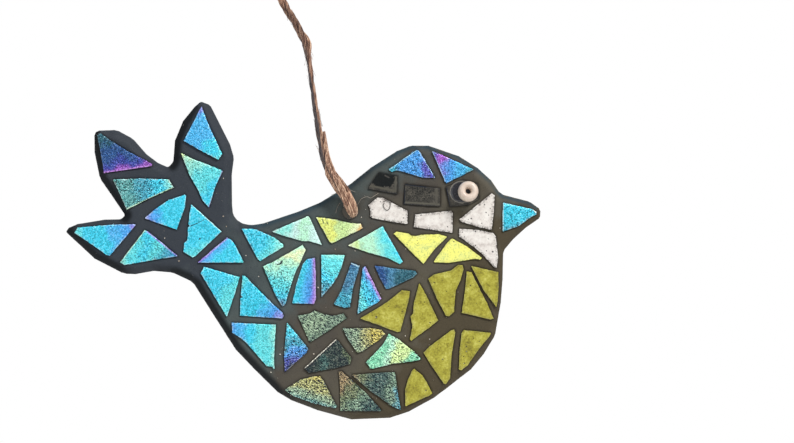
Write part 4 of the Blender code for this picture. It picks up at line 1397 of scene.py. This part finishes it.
def grout_height(points, to_rim, to_glass, to_hole):
    """The depth of the grout's face: flat between the glass, sloped off round the outline."""
    heights = []
    for point, rim, glass, hole in zip(points, to_rim, to_glass, to_hole):
        x, z = point
        width = min(MARGIN, rim + glass)
        slope = max(0.0, 1.0 - rim / max(width, 0.1))
        drop = MARGIN_DROP * min(1.0, 1.1 * width / MARGIN) * slope ** 1.7
        groove = GROOVE_DEPTH * math.exp(-(glass / GROOVE_WIDTH) ** 2)
        mouth = MOUTH_DEPTH * max(0.0, 1.0 - hole / MOUTH_WIDTH) ** 2
        lumps = sum(high * ripple(x, z, waves, seed) for high, waves, seed in LUMPS)
        heights.append(GROUT_FRONT + drop + groove + mouth + lumps)
    return heights


def grout_marks(points, to_rim, facings):
    """How much painted shade darkens the grout's margin at each point, and how much painted bluish
    sheen it has.
    """
    margin_shades, sheens = [], []
    for point, near, out in zip(points, to_rim, facings):
        nearness = max(0.0, 1.0 - near / SHADED_MARGIN)
        shade = -1.5 * out.x - 0.15 - 0.5 * max(0.0, out.y)
        shade += TAIL_SHADE if point[0] < TAIL_FROM else 0.0
        margin_shades.append(nearness * min(1.0, max(0.0, shade)))
        sheen = nearness ** 1.6 * min(1.0, max(0.0, 0.9 * out.y + 0.2))
        sheens.append(sheen * (SHEEN_LEFT if point[0] < SHEEN_FROM else 1.0))
    return margin_shades, sheens


def make_grout(outline, recess, glass_edges, finish):
    """The grout: a face with a pocket for each piece of glass, an edge and a recess behind."""
    rim = rough_edge(outline, RIM_STEP, OUTLINE_SET_IN, OUTLINE_WAVER, 3)
    hole = [Vector((HOLE_RADIUS * math.cos(angle), HOLE_RADIUS * math.sin(angle)))
            for angle in angles(HOLE_SIDES)]
    spots = lattice(rim, GROUT_STEP, 21)
    spots = spots[inside(spots, rim)]
    spots = spots[gaps(spots, [rim]) > OUTLINE_CLEAR]
    for edge in (*glass_edges.values(), hole):
        spots = spots[~inside(spots, edge)]
    spots = spots[gaps(spots, [*glass_edges.values(), hole]) > GLASS_CLEAR]
    loops = [rim, hole, *glass_edges.values()]
    points, faces = triangulated(loops, spots)
    to_rim = gaps(points, [rim])
    to_glass = gaps(points, list(glass_edges.values()))
    to_hole = gaps(points, [hole])
    heights = grout_height(points, to_rim, to_glass, to_hole)
    body = Body("margin", "sheen", "groove")
    margin_shades, sheens = grout_marks(points, to_rim, outwards(points, rim))
    groove_shades = [math.exp(-(near / GROOVE_SHADE_WIDTH) ** 2) for near in to_glass]
    body.sheet(points, faces, heights, margin=margin_shades, sheen=sheens, groove=groove_shades)
    first = 0
    for number, loop in enumerate(loops):
        front = heights[first:first + len(loop)]
        back = [GROUT_BACK, RECESS_FLOOR, TILE_BACK + POCKET_GAP][min(number, 2)]
        # The walls of the hole and of the pockets take the full painted shade
        body.wall(loop, front, [back] * len(loop), groove=1.0 if number else 0.0)
        first += len(loop)
        if number > 1:
            body.flat([loop], back)
    body.flat([rim, recess], GROUT_BACK)
    body.wall(recess, [GROUT_BACK] * len(recess), [RECESS_FLOOR] * len(recess))
    body.flat([recess, hole], RECESS_FLOOR)
    grout = body.finished("dark_grout", finish, GROUT_SHARP)
    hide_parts("grout")
    return points, heights


def grout_finish():
    """Dark grout, cool on the left and warm on the right as painted reflected light, with painted
    shade on its left edges and in its grooves and a painted bluish sheen on its upper edges.
    """
    made = Finish("grout")
    cloud = made.grain(0.10, 3.0, 0.6)
    sand = made.grain(2.4, 3.0, 0.65)
    fine = made.grain(7.0, 1.0)
    # The grout's own dark grey with painted reflected light: cool towards the upper left, warm
    # towards the lower right, mottled by cloud
    reflected_warmth = made.along((0.011, 0.0, -0.008)) + 0.44 + (cloud - 0.5) * 0.7
    made.ground(reflected_warmth, ((0.0, (46, 51, 58)), (0.35, (67, 76, 75)), (0.62, (68, 63, 56)),
                         (0.88, (78, 73, 61)), (1.0, (67, 59, 43))))
    made.over((104, 98, 88), sand.clear_of(0.60, 0.76) * 0.3)
    made.over((24, 24, 25), sand.clear_of(0.42, 0.30) * 0.5)
    # Painted sheen, a bluish reflection on the margins that face upwards
    made.over((32, 56, 68), made.mark("sheen").clear_of(0.2, 0.85) * 0.8)
    # Painted shade, navy-black, on the margins that face left and down-left
    made.over((5, 10, 15), made.mark("margin").clear_of(0.05, 0.6) * 0.94)
    # Painted shade in the grooves beside the glass and on the walls of the hole and the pockets
    made.over((22, 22, 24), made.mark("groove") * 0.45)
    return made.bumped(sand * 0.7 + fine * 0.3, 0.10, 0.7, Roughness=0.74, Specular_IOR_Level=0.25)


# Grains: the radius of one of size 1, how far one stands out for its size, and the fine ones that
# are strewn over the grout
GRAIN_RADIUS = 0.5
GRAIN_RISE = 0.12
FINE_GRAINS = 60
FINE_SIZES = (0.08, 0.16)


def grain_tree(material):
    """Geometry nodes that set a small rough stone on each point of a mesh."""
    tree, values = node_group("grout grains", (("Places", "Geometry", None),
                                               ("Grain radius", "Float", GRAIN_RADIUS / METRE)))
    given = tree.add("NodeGroupInput").outputs
    stone = tree.first("GeometryNodeMeshIcoSphere",
                       {"Radius": given["Grain radius"], "Subdivisions": 2})
    drawn = {"data_type": 'FLOAT_VECTOR'}
    uneven = tree.first("FunctionNodeRandomValue",
                        {"Min": (0.7,) * 3, "Max": (1.3,) * 3, "Seed": 8}, drawn)
    turn = tree.first("FunctionNodeRandomValue", {"Max": (6.0,) * 3, "Seed": 9}, drawn)
    scale = tree.scaled(uneven, tree.attribute("size", 'FLOAT'))
    stones = tree.first("GeometryNodeInstanceOnPoints",
                        {"Points": given["Places"], "Instance": stone, "Rotation": turn,
                         "Scale": scale})
    tree.end(stones, material)
    return tree, values


def make_grains(points, heights, finish):
    """Pale grains of sand that show in the face of the grout."""
    table = np.array([tuple(point) for point in points])
    draw = random.Random(5)
    places = list(GRAINS)
    for _ in range(FINE_GRAINS):
        x, z = table[draw.randrange(len(table))]
        places.append((x, z, draw.uniform(*FINE_SIZES)))
    data = bpy.data.meshes.new("grain_places")
    spots = []
    for x, z, size in places:
        nearest = int(((table - (x, z)) ** 2).sum(1).argmin())
        spots.append(place(x, heights[nearest] - size * GRAIN_RISE, z))
    data.from_pydata(spots, [], [])
    layer = data.attributes.new("size", 'FLOAT', 'POINT')
    layer.data.foreach_set("value", [size for _, _, size in places])
    grains = grown("grout_grains", data, *grain_tree(finish))


def grain_finish():
    made = Finish("grout_sand")
    tone = made.grain(0.6, 1.0)
    made.ground(tone, ((0.35, (150, 132, 112)), (0.55, (206, 198, 186)), (0.7, (244, 240, 232))))
    return made.finished(Roughness=0.6)


# The bead: how far its bore is tipped and which way, its sizes, and the points round it and its ring
BEAD_TIP = math.radians(12)
BEAD_TIP_TOWARDS = (0.45, 0.0, 0.89)
BEAD_LENGTH = 4.2
BEAD_DIAMETER = 6.5
BEAD_BORE = 1.7
BEAD_SIDES = 72
BEAD_ROWS = 40


def make_bead(finish):
    """The eye bead: a turned oval ring, slightly uneven, with its bore tipped up."""
    low, high = (measured(corner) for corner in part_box("eye_bead"))
    centre = (low + high) / 2
    towards = Vector(BEAD_TIP_TOWARDS).normalized()
    axis = Vector((0.0, -math.cos(BEAD_TIP), 0.0)) + towards * math.sin(BEAD_TIP)
    turn = Vector((0.0, 0.0, 1.0)).rotation_difference(axis)
    middle = (BEAD_DIAMETER + BEAD_BORE) / 4
    half_width = (BEAD_DIAMETER - BEAD_BORE) / 4
    body = Body()
    rings = []
    for angle in angles(BEAD_SIDES):
        ring = []
        for lap in angles(BEAD_ROWS):
            radius = middle + half_width * math.copysign(abs(math.cos(lap)) ** 0.92, math.cos(lap))
            height = BEAD_LENGTH / 2 * math.copysign(abs(math.sin(lap)) ** 0.86, math.sin(lap))
            radius -= 0.02 + 0.03 * noise.noise(Vector((math.cos(angle), math.sin(angle), height)))
            local = Vector((radius * math.cos(angle), radius * math.sin(angle), height))
            ring.append(body.point(*(centre + turn @ local)))
        rings.append(ring)
    for ring, following in zip(rings, rings[1:] + rings[:1]):
        body.band(ring, following)
    bead = body.finished("cream_bead", finish)
    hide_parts("eye_bead")


def bead_finish():
    made = Finish("bead")
    cloud = made.grain(0.35, 3.0)
    made.ground(cloud, ((0.3, (186, 166, 150)), (0.6, (208, 192, 178))))
    return made.bumped(made.grain(1.2, 2.0), 0.03, 0.5, Roughness=0.34, Coat_Weight=0.2)


# The glue: its middle, half its width and height, its dome, how deep its foot goes, how uneven its
# rim is, and the points round it and out from its middle
GLUE_AT = (35.2, 6.0)
GLUE_REACH = (4.0, 3.75)
GLUE_DOME = 0.5
GLUE_FOOT = 0.35
GLUE_UNEVEN = 0.05
GLUE_SIDES = 80
GLUE_ROWS = 34

# Soft ridges in the glue: how far out they run, how high and how wide they are
GLUE_RIDGES = ((0.72, 0.1, 0.06), (0.91, 0.16, 0.05))


def make_glue(finish):
    """Dried glue that has run out round the bead: a low oval dome with two soft ridges."""
    body = Body()
    middle = body.point(GLUE_AT[0], TILE_FRONT - GLUE_DOME, GLUE_AT[1])
    rings = []
    for row in range(1, GLUE_ROWS + 1):
        part = row / GLUE_ROWS
        ring = []
        for angle in angles(GLUE_SIDES):
            uneven = noise.noise(Vector((2 * math.cos(angle), 2 * math.sin(angle), 3.0)))
            reach = part * (1 + GLUE_UNEVEN * uneven)
            x = GLUE_AT[0] + GLUE_REACH[0] * reach * math.cos(angle)
            z = GLUE_AT[1] + GLUE_REACH[1] * reach * math.sin(angle)
            height = GLUE_DOME * (1 - part ** 3)
            for away, rise, width in GLUE_RIDGES:
                height += rise * math.exp(-((part - away - 0.03 * uneven) / width) ** 2)
            ring.append(body.point(x, TILE_FRONT - height, z))
        rings.append(ring)
    foot = []
    for point in rings[-1]:
        x, _, z = measured(point.co)
        foot.append(body.point(x, TILE_FRONT + GLUE_FOOT, z))
    rings.append(foot)
    for ring, following in zip(rings, rings[1:]):
        body.band(ring, following)
    for one, other in zip(rings[0], rings[0][1:] + rings[0][:1]):
        body.mesh.faces.new((middle, one, other))
    body.mesh.faces.new(foot)
    glue = body.finished("dried_glue", finish, GLUE_SHARP)


def glue_finish():
    """Glossy black glue, with a pale ring along its outer ridge and a dark line round its rim."""
    made = Finish("glue")
    smear = made.grain(1.4, 3.0)
    away = made.out_of_oval(GLUE_AT, GLUE_REACH)
    made.ground(away + (smear - 0.5) * 0.12,
                ((0.0, (26, 26, 33)), (0.78, (28, 28, 35)), (0.84, (62, 61, 62)),
                 (0.89, (118, 114, 106)), (0.93, (92, 87, 79)), (0.97, (24, 24, 24)),
                 (1.0, (50, 47, 43))))
    made.over((92, 92, 96), smear.clear_of(0.58, 0.68) * 0.35)
    return made.bumped(smear, 0.05, 0.4, Roughness=0.24)


def board_finish():
    """Bare fibreboard: pressed brown fibres with darker flecks."""
    made = Finish("board")
    cloud = made.grain(0.08, 4.0, 0.6)
    long_spot = made.vector('MULTIPLY', made.spot, (0.35, 1.0, 1.0))
    fibre = made.grain(2.2, 4.0, 0.7, at=long_spot)
    made.ground(cloud * 0.5 + fibre * 0.5,
                ((0.34, (120, 88, 58)), (0.5, (158, 122, 86)), (0.66, (182, 148, 110))))
    return made.bumped(fibre, 0.05, 0.5, Roughness=0.85)


def lamp(name, spot, aim, size, power, tint):
    data = bpy.data.lights.new(name, 'AREA')
    data.shape = 'DISK'
    data.size = size
    data.energy = power
    data.color = tint
    thing = linked(name, data)
    thing.location = spot
    thing.rotation_euler = (Vector(aim) - Vector(spot)).to_track_quat('-Z', 'Y').to_euler()


# Lamps: the way there from the bird's middle in metres, the size, the power and the tint
LAMPS = {
    "key": ((0.75, -0.75, 0.95), 0.30, 19.0, (1.0, 1.0, 1.0)),
    "fill": ((-0.9, -1.0, -0.1), 0.9, 3.6, (0.85, 0.93, 1.0)),
    "behind": ((0.2, 1.2, 0.6), 0.8, 9.0, (1.0, 1.0, 1.0)),
}
LIT_HEIGHT = -15.0

# The strength of the room's light, where the camera sees the room as plain white
ROOM_LIGHT = 0.54


def set_light():
    """A white room, a key light from the upper right and softer ones from the left and behind."""
    middle = place(0.0, 0.0, LIT_HEIGHT)
    for name, (offset, size, power, tint) in LAMPS.items():
        lamp(name, middle + Vector(offset), middle, size, power, tint)
    world = bpy.data.worlds.new("room")
    world.use_nodes = True
    tree = Tree(world.node_tree)
    path = tree.add("ShaderNodeLightPath")
    seen = Number(tree, path.outputs["Is Camera Ray"])
    ground = world.node_tree.nodes["Background"]
    ground.inputs["Color"].default_value = (1.0, 1.0, 1.0, 1.0)
    tree.feed(ground.inputs["Strength"], seen * (1.0 - ROOM_LIGHT) + ROOM_LIGHT)
    bpy.context.scene.world = world
    bpy.context.scene.view_settings.view_transform = 'Standard'


# The floor, well below the bird
FLOOR_HEIGHT = -170.0
FLOOR_RADIUS = 450.0
FLOOR_SIDES = 96


def set_floor():
    """A plain pale disc below the ornament."""
    made = Finish("floor")
    made.set(Base_Color=(0.86, 0.86, 0.85, 1.0), Roughness=0.9)
    shape = bmesh.new()
    bmesh.ops.create_circle(shape, cap_ends=True, segments=FLOOR_SIDES, radius=FLOOR_RADIUS / METRE)
    data = bpy.data.meshes.new("floor")
    shape.to_mesh(data)
    shape.free()
    data.materials.append(made.material)
    floor = linked("floor", data)
    floor.location = place(0.0, 0.0, FLOOR_HEIGHT)


def main():
    set_camera()
    jute = jute_finish()
    twine, route = make_twine(jute)
    knot = make_knot(jute)
    make_fallen_hairs(hair_finish())
    length = sum((one - other).length for one, other in zip(route, route[1:]))
    [place(*point) for point in route]
    glass_loops = {name: clockwise(loops_at(name, TILE_FRONT)[0]) for name in TILE_NAMES}
    glass_edges = {}
    for number, name in enumerate(TILE_NAMES):
        waver = LUSTRE_CUT_WAVER if name in LUSTRE else CUT_WAVER
        glass_edges[name] = rough_edge(glass_loops[name], CUT_STEP, CUT_SET_IN, waver, number)
        make_glass(name, glass_loops[name], glass_edges[name], number)
    outline, recess = (clockwise(loop) for loop in loops_at("grout", GROUT_BACK)[:2])
    points, heights = make_grout(outline, recess, glass_edges, grout_finish())
    make_grains(points, heights, grain_finish())
    make_bead(bead_finish())
    make_glue(glue_finish())
    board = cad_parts["backing_board"].data
    board.materials.clear()
    board.materials.append(board_finish())
    set_floor()
    set_light()


main()
